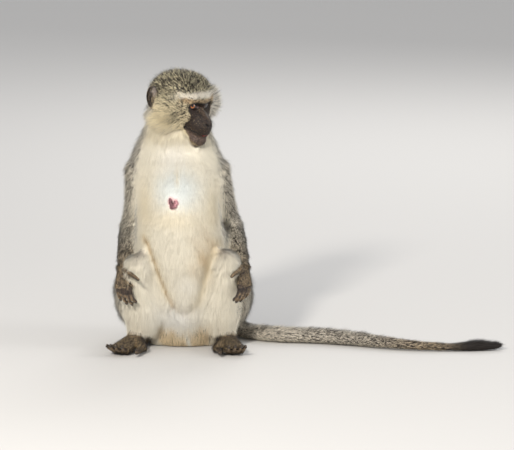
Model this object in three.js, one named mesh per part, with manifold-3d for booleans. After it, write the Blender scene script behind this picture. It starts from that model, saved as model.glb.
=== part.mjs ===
// A grown female vervet monkey, life size, seated upright on the ground with her head turned to her left.
//
// Frame: millimetres, +Z up. She faces -Y, so +X is her own left. The origin is on the floor, under the seat.
// Every solid reaches out to the tips of the coat. Each one is parted from its neighbours by a thin cut,
// and whatever touches the floor is trimmed flat at Z = 0.
import * as THREE from "three";
import { mergeVertices } from "three/addons/utils/BufferGeometryUtils.js";
import Module from "manifold-3d";

const wasm = await Module();
wasm.setup();

// ---------------------------------------------------------------- driving dimensions

const SITTING_HEIGHT = 421; // floor to the tips of the crown fur
const TAIL_LENGTH = 508; // along the tail's own line, tuft included
const CUT = 0.4; // width of the thin cut between two neighbours
const FLOOR_SINK = 1.5; // how far a resting piece is laid below the floor before it is trimmed flat

const SEAT_HALF_WIDTH = 56;
const HIP_HALF_WIDTH = 80;
const CHEST_HALF_WIDTH = 65;
const BELLY_HALF_DEPTH = 76;
const LEAN = -9; // how far her chest is to her right of her seat

const HEAD_YAW = 50; // degrees, towards her left
const HEAD_PITCH = 12; // degrees, nose down
const HEAD_AT = new THREE.Vector3(-6, -2, SITTING_HEIGHT - 48);

const EYE_RADIUS = 9.2;
const EYE_SPACING = 24.8; // between the centres of the two eyes
const EAR_HEIGHT = 37;
const EAR_WIDTH = 20;

const FINGER_RADIUS = 3.7;
const TOE_RADIUS = 4.3;
const TAIL_RADIUS = 13.2;

const COLOURS = {
  cream: 0xd9ceb4,
  grizzled: 0x8b867a,
  olive: 0x7c755f,
  dark: 0x3b3632,
  face: 0x2d2928,
  eye: 0x7a3a10,
};

// ---------------------------------------------------------------- small tools

const v = (x, y, z) => new THREE.Vector3(x, y, z);
const degrees = THREE.MathUtils.degToRad;
const between = (a, b, share) => a.clone().lerp(b, share);
const mirrored = (p, sign) => v(p.x, p.y * sign, p.z);

// A closed three.js geometry as a manifold-3d solid.
function solidOf(geometry) {
  const bare = geometry.index ? geometry.toNonIndexed() : geometry.clone();
  bare.deleteAttribute("normal");
  bare.deleteAttribute("uv");
  const merged = mergeVertices(bare, 1e-3);
  return new wasm.Manifold(
    new wasm.Mesh({
      numProp: 3,
      vertProperties: merged.attributes.position.array,
      triVerts: new Uint32Array(merged.index.array),
    }),
  );
}

// A solid as a named mesh. Splinters that a cut leaves behind are dropped.
function meshOf(name, solid, colour, roughness) {
  const pieces = solid.decompose().sort((a, b) => b.volume() - a.volume());
  const { vertProperties, triVerts } = pieces[0].getMesh();
  const geometry = new THREE.BufferGeometry();
  geometry.setAttribute("position", new THREE.BufferAttribute(new Float32Array(vertProperties), 3));
  geometry.setIndex(new THREE.BufferAttribute(new Uint32Array(triVerts), 1));
  geometry.computeVertexNormals();
  const material = new THREE.MeshStandardMaterial({ color: colour, roughness, metalness: 0 });
  const mesh = new THREE.Mesh(geometry, material);
  mesh.name = name;
  return mesh;
}

const joined = (solids) => solids.reduce((whole, one) => whole.add(one));

// A closed body swept through stations. Each station is { at, wide, deep }: a centre and two half sizes,
// wide along `across` and deep at right angles to it. An end is a dome, `domes` half sizes long, or flat.
// `grow` adds to every half size, which is how a neighbour is cut back by a thin, even gap.
function loft({ stations, across, sides = 12, steps = 8, domes = [1, 1], domeRings = 2, grow = 0 }) {
  const centre = new THREE.CatmullRomCurve3(stations.map((s) => s.at));
  const sizes = new THREE.CatmullRomCurve3(stations.map((s) => v(s.wide, s.deep, 0)));
  const pushed = (t, push) => {
    const size = sizes.getPoint(t);
    return centre.getPoint(t).addScaledVector(centre.getTangent(t), push * (Math.min(size.x, size.y) + grow));
  };
  const points = [];
  const addRing = (t, push, scale) => {
    const along = centre.getTangent(t);
    const size = sizes.getPoint(t);
    const b = across.clone().addScaledVector(along, -across.dot(along)).normalize();
    const n = along.clone().cross(b);
    for (let j = 0; j < sides; j++) {
      const turn = (2 * Math.PI * j) / sides;
      const point = pushed(t, push);
      point.addScaledVector(b, (size.x + grow) * scale * Math.cos(turn));
      points.push(point.addScaledVector(n, (size.y + grow) * scale * Math.sin(turn)));
    }
  };
  const domeTurns = Array.from({ length: domeRings }, (_, i) => (Math.PI / 2) * (1 - (i + 1) / (domeRings + 1)));
  if (domes[0]) domeTurns.forEach((turn) => addRing(0, -domes[0] * Math.sin(turn), Math.cos(turn)));
  for (let i = 0; i <= steps; i++) addRing(i / steps, 0, 1);
  if (domes[1]) domeTurns.reverse().forEach((turn) => addRing(1, domes[1] * Math.sin(turn), Math.cos(turn)));
  const rings = points.length / sides;
  const first = points.push(pushed(0, -domes[0])) - 1;
  const last = points.push(pushed(1, domes[1])) - 1;
  const faces = [];
  for (let j = 0; j < sides; j++) {
    const next = (j + 1) % sides;
    faces.push(first, next, j);
    for (let i = 0; i + 1 < rings; i++) {
      const [low, high] = [i * sides, (i + 1) * sides];
      faces.push(low + j, low + next, high + next, low + j, high + next, high + j);
    }
    const end = (rings - 1) * sides;
    faces.push(last, end + j, end + next);
  }
  const geometry = new THREE.BufferGeometry().setFromPoints(points);
  geometry.setIndex(faces);
  return solidOf(geometry);
}

// Everything beyond a plane, which starts half a cut past the point.
function beyond(point, normal) {
  const REACH = 700;
  const block = new THREE.BoxGeometry(2 * REACH, 2 * REACH, REACH).translate(0, 0, REACH / 2 + CUT / 2);
  const turn = new THREE.Quaternion().setFromUnitVectors(v(0, 0, 1), normal.clone().normalize());
  return solidOf(block.applyQuaternion(turn).translate(point.x, point.y, point.z));
}

const floorBlock = beyond(v(0, 0, CUT / 2), v(0, 0, -1));
const onFloor = (solid) => solid.subtract(floorBlock);

// The plane through a bent joint that halves its angle: its normal points to the side of `upper`.
function jointPlane(joint, upper, lower) {
  const up = upper.clone().sub(joint).normalize();
  const down = lower.clone().sub(joint).normalize();
  return up.sub(down).normalize();
}

// A pair of like parts: her left is at +X and her right at -X.
const SIDES = [
  { side: "left", sign: 1 },
  { side: "right", sign: -1 },
];

// ---------------------------------------------------------------- trunk and neck

// The torso is stacked from the seat to the skull: height, share of the lean, how far back its middle lies,
// half width and half depth.
const TORSO_LEVELS = [
  [-FLOOR_SINK, -0.3, 26, SEAT_HALF_WIDTH, 40],
  [20, -0.3, 22, HIP_HALF_WIDTH - 8, 56],
  [55, -0.2, 18, HIP_HALF_WIDTH, 67],
  [105, 0, 9, HIP_HALF_WIDTH - 4, BELLY_HALF_DEPTH],
  [155, 0.45, 5, CHEST_HALF_WIDTH + 5, BELLY_HALF_DEPTH - 1],
  [205, 0.9, 4, CHEST_HALF_WIDTH, BELLY_HALF_DEPTH - 8],
  [245, 1, 5, CHEST_HALF_WIDTH + 1, BELLY_HALF_DEPTH - 17],
  [280, 1.05, 8, CHEST_HALF_WIDTH + 5, BELLY_HALF_DEPTH - 26],
  [300, 1, 10, CHEST_HALF_WIDTH - 1, BELLY_HALF_DEPTH - 31],
  [317, 0.92, 9, CHEST_HALF_WIDTH - 10, BELLY_HALF_DEPTH - 34],
  [334, 0.84, 7, 50, 42],
  [350, 0.76, 5, 46, 39],
  [366, 0.7, 2, 38, 34],
];
const NECK_BASE = { at: v(-10, 10, 300), normal: v(0, -0.33, 1) };

function torsoSolid(grow) {
  const stations = TORSO_LEVELS.map(([z, lean, back, wide, deep]) => ({ at: v(LEAN * lean, back, z), wide, deep }));
  return onFloor(loft({ stations, across: v(1, 0, 0), sides: 20, steps: 13, domes: [0, 0.3], grow }));
}

const trunkSolid = (grow) =>
  torsoSolid(grow).intersect(beyond(NECK_BASE.at, NECK_BASE.normal.clone().negate()));
const neckSolid = (grow) => torsoSolid(grow).intersect(beyond(NECK_BASE.at, NECK_BASE.normal));

// ---------------------------------------------------------------- head

// Inside the head, x is forwards, y is her left and z is up, from the middle of the braincase.
const headFrame = new THREE.Matrix4()
  .makeTranslation(HEAD_AT)
  .multiply(new THREE.Matrix4().makeRotationZ(degrees(HEAD_YAW - 90)))
  .multiply(new THREE.Matrix4().makeRotationY(degrees(HEAD_PITCH)));
const EYE_AT = v(34.8, EYE_SPACING / 2, 1.9);

// The masses that make up the head: centre and half sizes. Those off the middle are mirrored.
const HEAD_MASSES = [
  { name: "braincase", at: v(2, 0, 4), half: v(49, 44, 41.5) },
  { name: "forehead", at: v(15, 14, 18), half: v(27, 23, 24) },
  { name: "nape", at: v(-18, 0, -20), half: v(30, 34, 30) },
  { name: "brow", at: v(35, 0, 12), half: v(11, 27, 8) },
  { name: "cheek ruff", at: v(17, 35, -5), half: v(24, 30, 28) },
  { name: "jowl", at: v(9, 29, -25), half: v(27, 28, 24) },
  { name: "throat", at: v(14, 0, -38), half: v(30, 28, 19) },
  { name: "cheekbone", at: v(34, 16, -11), half: v(11, 11, 10) },
  { name: "nose bridge", at: v(43, 0, -6), half: v(11.5, 7.5, 10) },
  { name: "nose ridge", at: v(50, 0, -14), half: v(9.5, 7, 9) },
  { name: "muzzle", at: v(45, 0, -25), half: v(19, 17, 16) },
  { name: "nose and lip", at: v(55, 0, -27), half: v(11, 12, 12) },
  { name: "chin", at: v(47.5, 0, -48), half: v(13.5, 12.5, 10.5) },
];
const MASS_BLEND = 3.2; // how softly one mass runs into the next
const ORBIT = { at: v(46, EYE_SPACING / 2 + 1.5, 2), radius: 8 };

// Roughly how far p is outside an ellipsoid.
function outside(p, at, half) {
  const d = p.clone().sub(at);
  const q = d.clone().divide(half).length();
  return q < 1e-6 ? -Math.min(half.x, half.y, half.z) : d.length() * (1 - 1 / q);
}

// Less than 0 inside the head, whose masses are blended and whose orbits are hollowed.
function headField(p) {
  const other = mirrored(p, -1);
  let sum = 0;
  for (const { at, half } of HEAD_MASSES) {
    sum += Math.exp(-outside(p, at, half) / MASS_BLEND);
    if (at.y) sum += Math.exp(-outside(other, at, half) / MASS_BLEND);
  }
  const flesh = -MASS_BLEND * Math.log(sum);
  const orbit = Math.min(p.distanceTo(ORBIT.at), other.distanceTo(ORBIT.at)) - ORBIT.radius;
  return Math.max(flesh, -orbit);
}

// A finely divided ball whose points are moved along their own rays until they lie on the head's surface.
function headBall(grow) {
  const HEART = v(12, 0, -8);
  const REACH = 95;
  const DIVISIONS = 6;
  const ball = new THREE.IcosahedronGeometry(1, DIVISIONS);
  const place = ball.attributes.position;
  for (let i = 0; i < place.count; i++) {
    const ray = new THREE.Vector3().fromBufferAttribute(place, i).normalize();
    let near = 0;
    let far = REACH;
    for (let k = 0; k < 22; k++) {
      const middle = (near + far) / 2;
      if (headField(HEART.clone().addScaledVector(ray, middle)) < grow) near = middle;
      else far = middle;
    }
    const point = HEART.clone().addScaledVector(ray, near);
    place.setXYZ(i, point.x, point.y, point.z);
  }
  return solidOf(ball.applyMatrix4(headFrame));
}

// What lies in front of and below the line of the lips, which starts at the corner of the mouth.
const LIP_CORNER = v(42, 0, -30.5);
const LIP_SLOPE = 19; // degrees, down towards the front
function jawRegion(grow) {
  const LONG = 60;
  const box = new THREE.BoxGeometry(LONG + grow, LONG + 20, LONG + grow);
  box.translate((LONG - grow) / 2, 0, (grow - LONG) / 2).rotateY(degrees(LIP_SLOPE));
  return solidOf(box.translate(LIP_CORNER.x, LIP_CORNER.y, LIP_CORNER.z).applyMatrix4(headFrame));
}

function nostril(sign) {
  const hole = new THREE.SphereGeometry(1, 8, 6);
  hole.scale(2.6, 1.4, 1.3).rotateZ(degrees(sign * 35));
  hole.translate(64.6, sign * 4.6, -19);
  return solidOf(hole.applyMatrix4(headFrame));
}

const jawSolid = (grow) => headBall(grow).intersect(jawRegion(grow));
const skullSolid = (grow) => headBall(grow).subtract(nostril(1)).subtract(nostril(-1));

function eyeSolid(sign, grow) {
  const ball = new THREE.SphereGeometry(EYE_RADIUS + grow, 10, 7);
  const centre = mirrored(EYE_AT, sign).applyMatrix4(headFrame);
  return solidOf(ball.translate(centre.x, centre.y, centre.z));
}

// A thin oval shell, hollowed on the side that faces outwards and a little forwards.
function earSolid(sign, grow) {
  const EAR_HALF_THICKNESS = 5;
  const EAR_FLARE = 13; // degrees by which the back edge stands out from the head
  const RIM = 3.5;
  const placed = headFrame
    .clone()
    .multiply(new THREE.Matrix4().makeTranslation(mirrored(v(-13, 46, 4), sign)))
    .multiply(new THREE.Matrix4().makeRotationZ(degrees(-sign * EAR_FLARE)));
  const shell = new THREE.SphereGeometry(1, 12, 7);
  shell.scale(EAR_WIDTH / 2 + grow, EAR_HALF_THICKNESS + grow, EAR_HEIGHT / 2 + grow);
  const ear = solidOf(shell.applyMatrix4(placed));
  if (grow) return ear;
  const bowl = new THREE.SphereGeometry(1, 8, 6);
  bowl.scale(EAR_WIDTH / 2 - RIM, EAR_HALF_THICKNESS, EAR_HEIGHT / 2 - RIM);
  bowl.translate(1, sign * (EAR_HALF_THICKNESS - 0.4), 0.5);
  return ear.subtract(solidOf(bowl.applyMatrix4(placed)));
}

// ---------------------------------------------------------------- fingers and toes

// A digit leaves its root, bends towards the palm or sole at its joints and ends in a round tip.
function digit({ root, aim, bendAxis, bends, length, radius, grow }) {
  const BONE_SHARES = [0.45, 0.32, 0.23];
  const axis = bendAxis.clone().normalize();
  const along = aim.clone().normalize();
  const at = root.clone();
  const stations = [{ at: at.clone().addScaledVector(along, -1.5 * radius), wide: radius, deep: radius }];
  BONE_SHARES.forEach((share, i) => {
    const half = radius * (1 - 0.09 * i);
    stations.push({ at: at.clone(), wide: half, deep: half });
    at.addScaledVector(along, length * share);
    along.applyAxisAngle(axis, degrees(bends[i]));
  });
  stations.push({ at: at.clone(), wide: radius * 0.74, deep: radius * 0.68 });
  return loft({ stations, across: axis, sides: 5, steps: 3, domes: [0, 0.9], domeRings: 1, grow });
}

// ---------------------------------------------------------------- arms

// `outward` runs across the hand, from the thumb's side to the little finger's.
const ARMS = {
  left: {
    shoulder: v(45, 6, 266),
    elbow: v(73, 58, 176),
    wrist: v(90, -42, 124),
    knuckles: v(92, -63, 101),
    outward: v(0.7, 0.7, 0.1),
    thumb: { root: v(86, -57, 124), tip: v(73, -81, 118) },
  },
  right: {
    shoulder: v(-62, 4, 266),
    elbow: v(-80, 58, 176),
    wrist: v(-88, -42, 123),
    knuckles: v(-88, -63, 98),
    outward: v(-0.9, 0.42, 0.1),
    thumb: { root: v(-84, -60, 122), tip: v(-65, -89, 115) },
  },
};

function upperArm({ shoulder, elbow }, grow) {
  const stations = [
    { at: shoulder, wide: 25, deep: 31 },
    { at: between(shoulder, elbow, 0.35), wide: 20, deep: 28 },
    { at: between(shoulder, elbow, 0.7), wide: 15, deep: 22 },
    { at: elbow, wide: 14.5, deep: 16 },
  ];
  return loft({ stations, across: v(1, 0, 0), sides: 11, steps: 4, domes: [0.75, 0.8], grow });
}

function forearm({ elbow, wrist }, grow) {
  const stations = [
    { at: elbow, wide: 15, deep: 15.5 },
    { at: between(elbow, wrist, 0.3), wide: 16, deep: 17 },
    { at: between(elbow, wrist, 0.65), wide: 14, deep: 14 },
    { at: wrist, wide: 11, deep: 9.5 },
  ];
  return loft({ stations, across: v(1, 0, 0), sides: 11, steps: 5, domes: [0.8, 0.4], grow });
}

function hand({ wrist, knuckles, outward, thumb: line }, sign, grow) {
  const across = outward.clone().normalize();
  const bendAxis = across.clone().multiplyScalar(sign);
  const aim = knuckles.clone().sub(wrist).normalize();
  const palm = loft({
    stations: [
      { at: wrist, wide: 10, deep: 8 },
      { at: between(wrist, knuckles, 0.55), wide: 14.5, deep: 8 },
      { at: knuckles, wide: 15, deep: 6.5 },
    ],
    across,
    sides: 10,
    steps: 4,
    domes: [0.5, 0.9],
    domeRings: 1,
    grow,
  });
  const FINGERS = [
    { place: -10, length: 25 },
    { place: -3.4, length: 30 },
    { place: 3.4, length: 29 },
    { place: 10, length: 23 },
  ];
  const fingers = FINGERS.map(({ place, length }) =>
    digit({
      root: knuckles.clone().addScaledVector(across, place),
      aim: aim.clone().addScaledVector(across, place * 0.012 - 0.18),
      bendAxis,
      bends: [34, 42, 30],
      length,
      radius: FINGER_RADIUS,
      grow,
    }),
  );
  const thumb = digit({
    root: line.root,
    aim: line.tip.clone().sub(line.root),
    bendAxis,
    bends: [2, 6, 0],
    length: line.tip.distanceTo(line.root),
    radius: FINGER_RADIUS + 0.6,
    grow,
  });
  return joined([palm, thumb, ...fingers]);
}

// The whole arm, and its three lengths: it is parted at the elbow and the wrist.
const armSolid = (side, sign, grow) =>
  joined([upperArm(ARMS[side], grow), forearm(ARMS[side], grow), hand(ARMS[side], sign, grow)]);

function armParts(side, sign) {
  const { shoulder, elbow, wrist, knuckles } = ARMS[side];
  const atElbow = jointPlane(elbow, shoulder, wrist);
  const atWrist = knuckles.clone().sub(elbow).normalize();
  const below = beyond(elbow, atElbow.clone().negate());
  return {
    upper_arm: (grow) => armSolid(side, sign, grow).intersect(beyond(elbow, atElbow)),
    forearm: (grow) => armSolid(side, sign, grow).intersect(below).intersect(beyond(wrist, atWrist.clone().negate())),
    hand: (grow) => armSolid(side, sign, grow).intersect(below).intersect(beyond(wrist, atWrist)),
  };
}

// ---------------------------------------------------------------- legs

const LEGS = {
  left: {
    hip: v(46, 40, 56),
    knee: v(63, -50, 138),
    ankle: v(66, -34, 26),
    ball: v(77, -88, 8),
    bigToe: { root: v(51, -74, 9), tip: v(57, -113, 6) },
  },
  right: {
    hip: v(-44, 40, 56),
    knee: v(-66, -50, 132),
    ankle: v(-70, -34, 26),
    ball: v(-92, -86, 8),
    bigToe: { root: v(-60, -74, 9), tip: v(-69, -113, 6) },
  },
};
const ANKLE_HEIGHT = 25;

function thigh({ hip, knee }, sign, grow) {
  const at = (share, out, lift) => between(hip, knee, share).add(v(out * sign, 0, lift));
  const stations = [
    { at: at(0, 6, 0), wide: 47, deep: 52 },
    { at: at(0.35, 9, -8), wide: 44, deep: 50 },
    { at: at(0.7, 7, -6), wide: 32, deep: 36 },
    { at: at(1, 0, -2), wide: 20, deep: 23 },
  ];
  return onFloor(loft({ stations, across: v(1, 0, 0), sides: 11, steps: 5, domes: [0.7, 0.85], grow }));
}

// The calf is fullest low down, where its long fur hangs inwards.
function shank({ knee, ankle }, sign, grow) {
  const at = (share, out, back) => between(knee, ankle, share).add(v(out * sign, back, 0));
  const stations = [
    { at: at(0.04, 1, 1), wide: 20, deep: 21 },
    { at: at(0.3, -2, 4), wide: 25, deep: 26 },
    { at: at(0.52, -8, 6), wide: 32, deep: 29 },
    { at: at(0.72, -12, 7), wide: 35, deep: 29 },
    { at: at(0.92, -8, 5), wide: 26, deep: 23 },
    { at: at(1.08, -6, 3), wide: 20, deep: 19 },
  ];
  return onFloor(loft({ stations, across: v(1, 0, 0), sides: 11, steps: 5, domes: [0.8, 0.5], grow }));
}

function foot({ ankle, ball, bigToe }, sign, grow) {
  const along = ball.clone().sub(ankle).setZ(0).normalize();
  const across = v(-along.y, along.x, 0).multiplyScalar(sign); // towards the little toe
  const bendAxis = across.clone().multiplyScalar(-sign);
  const sole = loft({
    stations: [
      { at: ankle.clone().addScaledVector(along, -24).setZ(11), wide: 12, deep: 12.5 },
      { at: ankle.clone().setZ(13), wide: 15, deep: 15 },
      { at: between(ankle, ball, 0.55).setZ(11), wide: 19, deep: 13 },
      { at: ball, wide: 16.5, deep: 9.5 },
    ],
    across,
    sides: 10,
    steps: 4,
    domes: [0.9, 0.8],
    domeRings: 1,
    grow,
  });
  const TOES = [
    { place: -9.5, length: 27 },
    { place: -2.8, length: 31 },
    { place: 4, length: 29 },
    { place: 10.5, length: 24 },
  ];
  const toes = TOES.map(({ place, length }) =>
    digit({
      root: ball.clone().addScaledVector(across, place).addScaledVector(along, -0.2 * Math.abs(place)),
      aim: along.clone().addScaledVector(across, place * 0.012).setZ(0.16),
      bendAxis,
      bends: [16, 22, 16],
      length,
      radius: TOE_RADIUS,
      grow,
    }),
  );
  const inner = digit({
    root: bigToe.root,
    aim: bigToe.tip.clone().sub(bigToe.root),
    bendAxis,
    bends: [4, 8, 6],
    length: bigToe.tip.distanceTo(bigToe.root) - TOE_RADIUS,
    radius: TOE_RADIUS + 1.4,
    grow,
  });
  const web = loft({
    stations: [
      { at: between(ankle, ball, 0.2).setZ(9), wide: 12, deep: 10 },
      { at: bigToe.root, wide: 9, deep: 8.5 },
    ],
    across: v(1, 0, 0),
    sides: 8,
    steps: 2,
    domes: [0.8, 0.8],
    domeRings: 1,
    grow,
  });
  return onFloor(joined([sole, web, inner, ...toes]));
}

const legSolid = (side, sign, grow) =>
  joined([thigh(LEGS[side], sign, grow), shank(LEGS[side], sign, grow), foot(LEGS[side], sign, grow)]);

function legParts(side, sign) {
  const { hip, knee, ankle } = LEGS[side];
  const atKnee = jointPlane(knee, hip, ankle);
  const front = beyond(knee, atKnee.clone().negate());
  const ankleAt = v(0, ankle.y, ANKLE_HEIGHT);
  const ankleUp = v(0, 0.35, 1);
  return {
    thigh: (grow) => legSolid(side, sign, grow).intersect(beyond(knee, atKnee)),
    shank: (grow) => legSolid(side, sign, grow).intersect(front).intersect(beyond(ankleAt, ankleUp)),
    foot: (grow) => legSolid(side, sign, grow).intersect(front).intersect(beyond(ankleAt, ankleUp.clone().negate())),
  };
}

// ---------------------------------------------------------------- tail

// Where the tail lies, from its root behind the seat, round her left hip and out to the side.
const TAIL_LINE = new THREE.CatmullRomCurve3([
  v(0, 78, 22),
  v(32, 84, 13),
  v(66, 70, 11.8),
  v(102, 34, 11.8),
  v(140, 12, 11.7),
  v(196, 4, 11.6),
  v(250, -15, 11.3),
  v(306, -43, 10),
  v(362, -58, 8),
  v(410, -57, 6.5),
  v(462, -50, 7.5),
]);
const TAIL_SCALE = TAIL_LENGTH / TAIL_LINE.getLength();
const TAIL_LENGTHS = [
  { name: "tail_root", from: 0, to: 0.3 },
  { name: "tail_middle", from: 0.3, to: 0.58 },
  { name: "tail_end", from: 0.58, to: 0.84 },
  { name: "tail_tuft", from: 0.84, to: 1 },
];

// Half thickness: full to the middle, then tapering, with the tuft swelling near the end.
function tailHalf(share) {
  const taper = THREE.MathUtils.smoothstep(share, 0.45, 0.88);
  const tuft = Math.exp(-(((share - 0.94) / 0.045) ** 2));
  return THREE.MathUtils.lerp(TAIL_RADIUS, 6.6, taper) + 3.6 * tuft;
}

function tailSolid({ from, to }, grow) {
  const STATIONS = 6;
  const start = from + CUT / TAIL_LENGTH;
  const stations = Array.from({ length: STATIONS }, (_, i) => {
    const share = THREE.MathUtils.lerp(start, to, i / (STATIONS - 1));
    const half = tailHalf(share);
    const at = TAIL_LINE.getPointAt(share);
    at.x *= TAIL_SCALE;
    at.z = Math.max(half - FLOOR_SINK, at.z);
    return { at, wide: half, deep: half };
  });
  const tipDome = to === 1 ? 1 : 0;
  return onFloor(loft({ stations, across: v(0, 0, 1), sides: 10, steps: 5, domes: [0, tipDome], grow }));
}

// ---------------------------------------------------------------- the whole animal, parted by thin cuts

// In this order, each part is cut back from all the parts before it.
const parts = [];
const part = (name, colour, roughness, shape) => parts.push({ name, colour, roughness, shape });
const arms = {};
const legs = {};
for (const { side, sign } of SIDES) {
  arms[side] = armParts(side, sign);
  legs[side] = legParts(side, sign);
  part("eye_" + side, COLOURS.eye, 0.1, (grow) => eyeSolid(sign, grow));
  part("thigh_" + side, COLOURS.grizzled, 0.85, legs[side].thigh);
}
part("trunk", COLOURS.cream, 0.85, trunkSolid);
part("neck", COLOURS.cream, 0.85, neckSolid);
part("lower_jaw", COLOURS.face, 0.6, jawSolid);
part("head", COLOURS.olive, 0.85, skullSolid);
for (const { side, sign } of SIDES) {
  part("ear_" + side, COLOURS.face, 0.7, (grow) => earSolid(sign, grow));
  part("upper_arm_" + side, COLOURS.grizzled, 0.85, arms[side].upper_arm);
  part("shank_" + side, COLOURS.cream, 0.85, legs[side].shank);
  part("foot_" + side, COLOURS.dark, 0.8, legs[side].foot);
  part("forearm_" + side, COLOURS.grizzled, 0.85, arms[side].forearm);
  part("hand_" + side, COLOURS.dark, 0.8, arms[side].hand);
}
for (const length of TAIL_LENGTHS) {
  const colour = length.to === 1 ? COLOURS.dark : COLOURS.grizzled;
  part(length.name, colour, 0.85, (grow) => tailSolid(length, grow));
}

const vervet = new THREE.Group();
const grown = [];
for (const { name, colour, roughness, shape } of parts) {
  const own = grown.reduce((left, before) => left.subtract(before), shape(0));
  vervet.add(meshOf(name, own, colour, roughness));
  grown.push(shape(CUT));
}

export default vervet;
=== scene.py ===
from math import cos, pi, radians, sin

import bmesh
import bpy
import numpy as np
from mathutils import Matrix, Vector
from mathutils.bvhtree import BVHTree


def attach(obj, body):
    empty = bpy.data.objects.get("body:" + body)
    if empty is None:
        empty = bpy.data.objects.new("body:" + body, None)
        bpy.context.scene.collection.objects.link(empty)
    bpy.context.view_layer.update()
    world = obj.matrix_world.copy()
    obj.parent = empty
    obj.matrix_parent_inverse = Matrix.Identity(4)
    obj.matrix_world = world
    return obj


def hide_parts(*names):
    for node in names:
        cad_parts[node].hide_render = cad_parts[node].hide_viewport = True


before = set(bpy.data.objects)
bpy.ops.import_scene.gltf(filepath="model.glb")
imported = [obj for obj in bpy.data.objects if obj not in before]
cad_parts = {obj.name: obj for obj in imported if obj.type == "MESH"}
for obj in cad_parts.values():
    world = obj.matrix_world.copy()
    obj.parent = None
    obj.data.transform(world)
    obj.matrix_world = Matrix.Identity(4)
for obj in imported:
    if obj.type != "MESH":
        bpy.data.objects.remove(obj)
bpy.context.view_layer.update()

scene = bpy.context.scene

# ------------------------------------------------------------------ the body under the coat
# The trunk, neck, limbs and tail of a grown vervet: one unbroken skin over muscle. It is cast from the
# frame's flesh solids, closed over their thin cuts, softened like flesh and drawn in by the coat's depth.

MM = 0.001
BODY_VOXEL = 2.8 * MM
CUT_CLOSER = 0.6 * MM  # each solid grows by this, so that neighbours meet across their thin cut
BOTH = ("left", "right")
LIMB_PARTS = ("upper_arm", "forearm", "thigh", "shank")
TAIL_PARTS = ("tail_root", "tail_middle", "tail_end", "tail_tuft")
BODY_NODES = ["trunk", "neck", *TAIL_PARTS] + [f"{part}_{side}" for part in LIMB_PARTS for side in BOTH]
COAT_DEPTH = {  # from the skin to the tips of the coat
    "trunk": 4.2 * MM,
    "neck": 5 * MM,
    "upper_arm": 4.4 * MM,
    "forearm": 3.4 * MM,
    "thigh": 4.4 * MM,
    "shank": 4.2 * MM,
    "tail_root": 5 * MM,
    "tail_middle": 4.5 * MM,
    "tail_end": 3.2 * MM,
    "tail_tuft": 5.5 * MM,
}
GROIN_RIGHT = ((-54, 173), (-37.5, 129), (-21, 86), (-6, 66))  # the fold between belly and thigh, x and z
GROIN_LEFT = ((49, 163), (39, 132), (25.5, 86), (3, 58))


def part_of(node):
    """A node's name without its side."""
    return node.replace("_left", "").replace("_right", "")


def lengths(vectors):
    return np.linalg.norm(vectors, axis=-1, keepdims=True)


def unit(vectors):
    return vectors / np.maximum(lengths(vectors), 1e-12)


def smooth_step(value, low, high):
    share = np.clip((value - low) / (high - low), 0, 1)
    return share * share * (3 - 2 * share)


def ridge(distance, width):
    """1 on a line or a point, falling softly to 0 away from it."""
    return np.exp(-((distance / width) ** 2))


def read(items, key, width=3):
    """One property of every vertex, edge or triangle, as an array."""
    values = np.empty(len(items) * width, np.float64 if key in ("co", "vector") else np.int32)
    items.foreach_get(key, values)
    return values.reshape(-1, width)


def relaxed(values, edges, times, share=0.5):
    """Values on the vertices of a mesh, each drawn towards the mean of its neighbours."""
    count = len(values)
    degree = np.maximum(np.bincount(edges.ravel(), minlength=count), 1)[:, None]
    values = values.reshape(count, -1)
    ends = np.concatenate((edges[:, 0], edges[:, 1]))
    others = np.concatenate((edges[:, 1], edges[:, 0]))
    for _ in range(times):
        sums = [np.bincount(ends, values[others, k], count) for k in range(values.shape[1])]
        values = values + share * (np.stack(sums, 1) / degree - values)
    return values


def mesh_of(shape, name="clay"):
    """A bmesh turned into a mesh."""
    mesh = bpy.data.meshes.new(name)
    shape.to_mesh(mesh)
    shape.free()
    return mesh


def together(meshes):
    """Several meshes as one bmesh."""
    whole = bmesh.new()
    for mesh in meshes:
        whole.from_mesh(mesh)
        bpy.data.meshes.remove(mesh)
    return whole


def shown(name, data):
    """A mesh, a lamp or a camera put into the scene."""
    found = bpy.data.objects.new(name, data)
    scene.collection.objects.link(found)
    return found


def set_points(mesh, points):
    mesh.vertices.foreach_set("co", points.astype(np.float32).ravel())
    mesh.update()


def modified(holder):
    """The mesh of an object after its modifiers."""
    bpy.context.view_layer.update()
    return bpy.data.meshes.new_from_object(holder.evaluated_get(bpy.context.evaluated_depsgraph_get()))


def remeshed(source, voxel):
    """A bmesh of closed, overlapping shells as one even skin of small squares."""
    mesh = mesh_of(source)
    clay = shown("clay", mesh)
    modifier = clay.modifiers.new("voxels", "REMESH")
    modifier.mode = "VOXEL"
    modifier.voxel_size = voxel
    result = modified(clay)
    bpy.data.objects.remove(clay)
    bpy.data.meshes.remove(mesh)
    return result


def joined_solids(nodes, grow):
    """Copies of these frame solids in one bmesh, with their loose triangles joined."""
    copies = []
    for node in nodes:
        one = bmesh.new()
        one.from_mesh(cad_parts[node].data)
        bmesh.ops.remove_doubles(one, verts=one.verts, dist=1e-6)
        one.normal_update()
        for vertex in one.verts:
            vertex.co += vertex.normal * grow * min(vertex.calc_shell_factor(), 2)
        copies.append(mesh_of(one))
    return together(copies)


def near_line(points, line):
    """The distance from each point to a bent line, both seen in the same two directions."""
    best = np.full(len(points), 1e9)
    for start, end in zip(np.array(line[:-1], float), np.array(line[1:], float)):
        span = end - start
        share = np.clip(((points - start) @ span) / (span @ span), 0, 1)[:, None]
        best = np.minimum(best, lengths(points - start - share * span)[:, 0])
    return best


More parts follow.
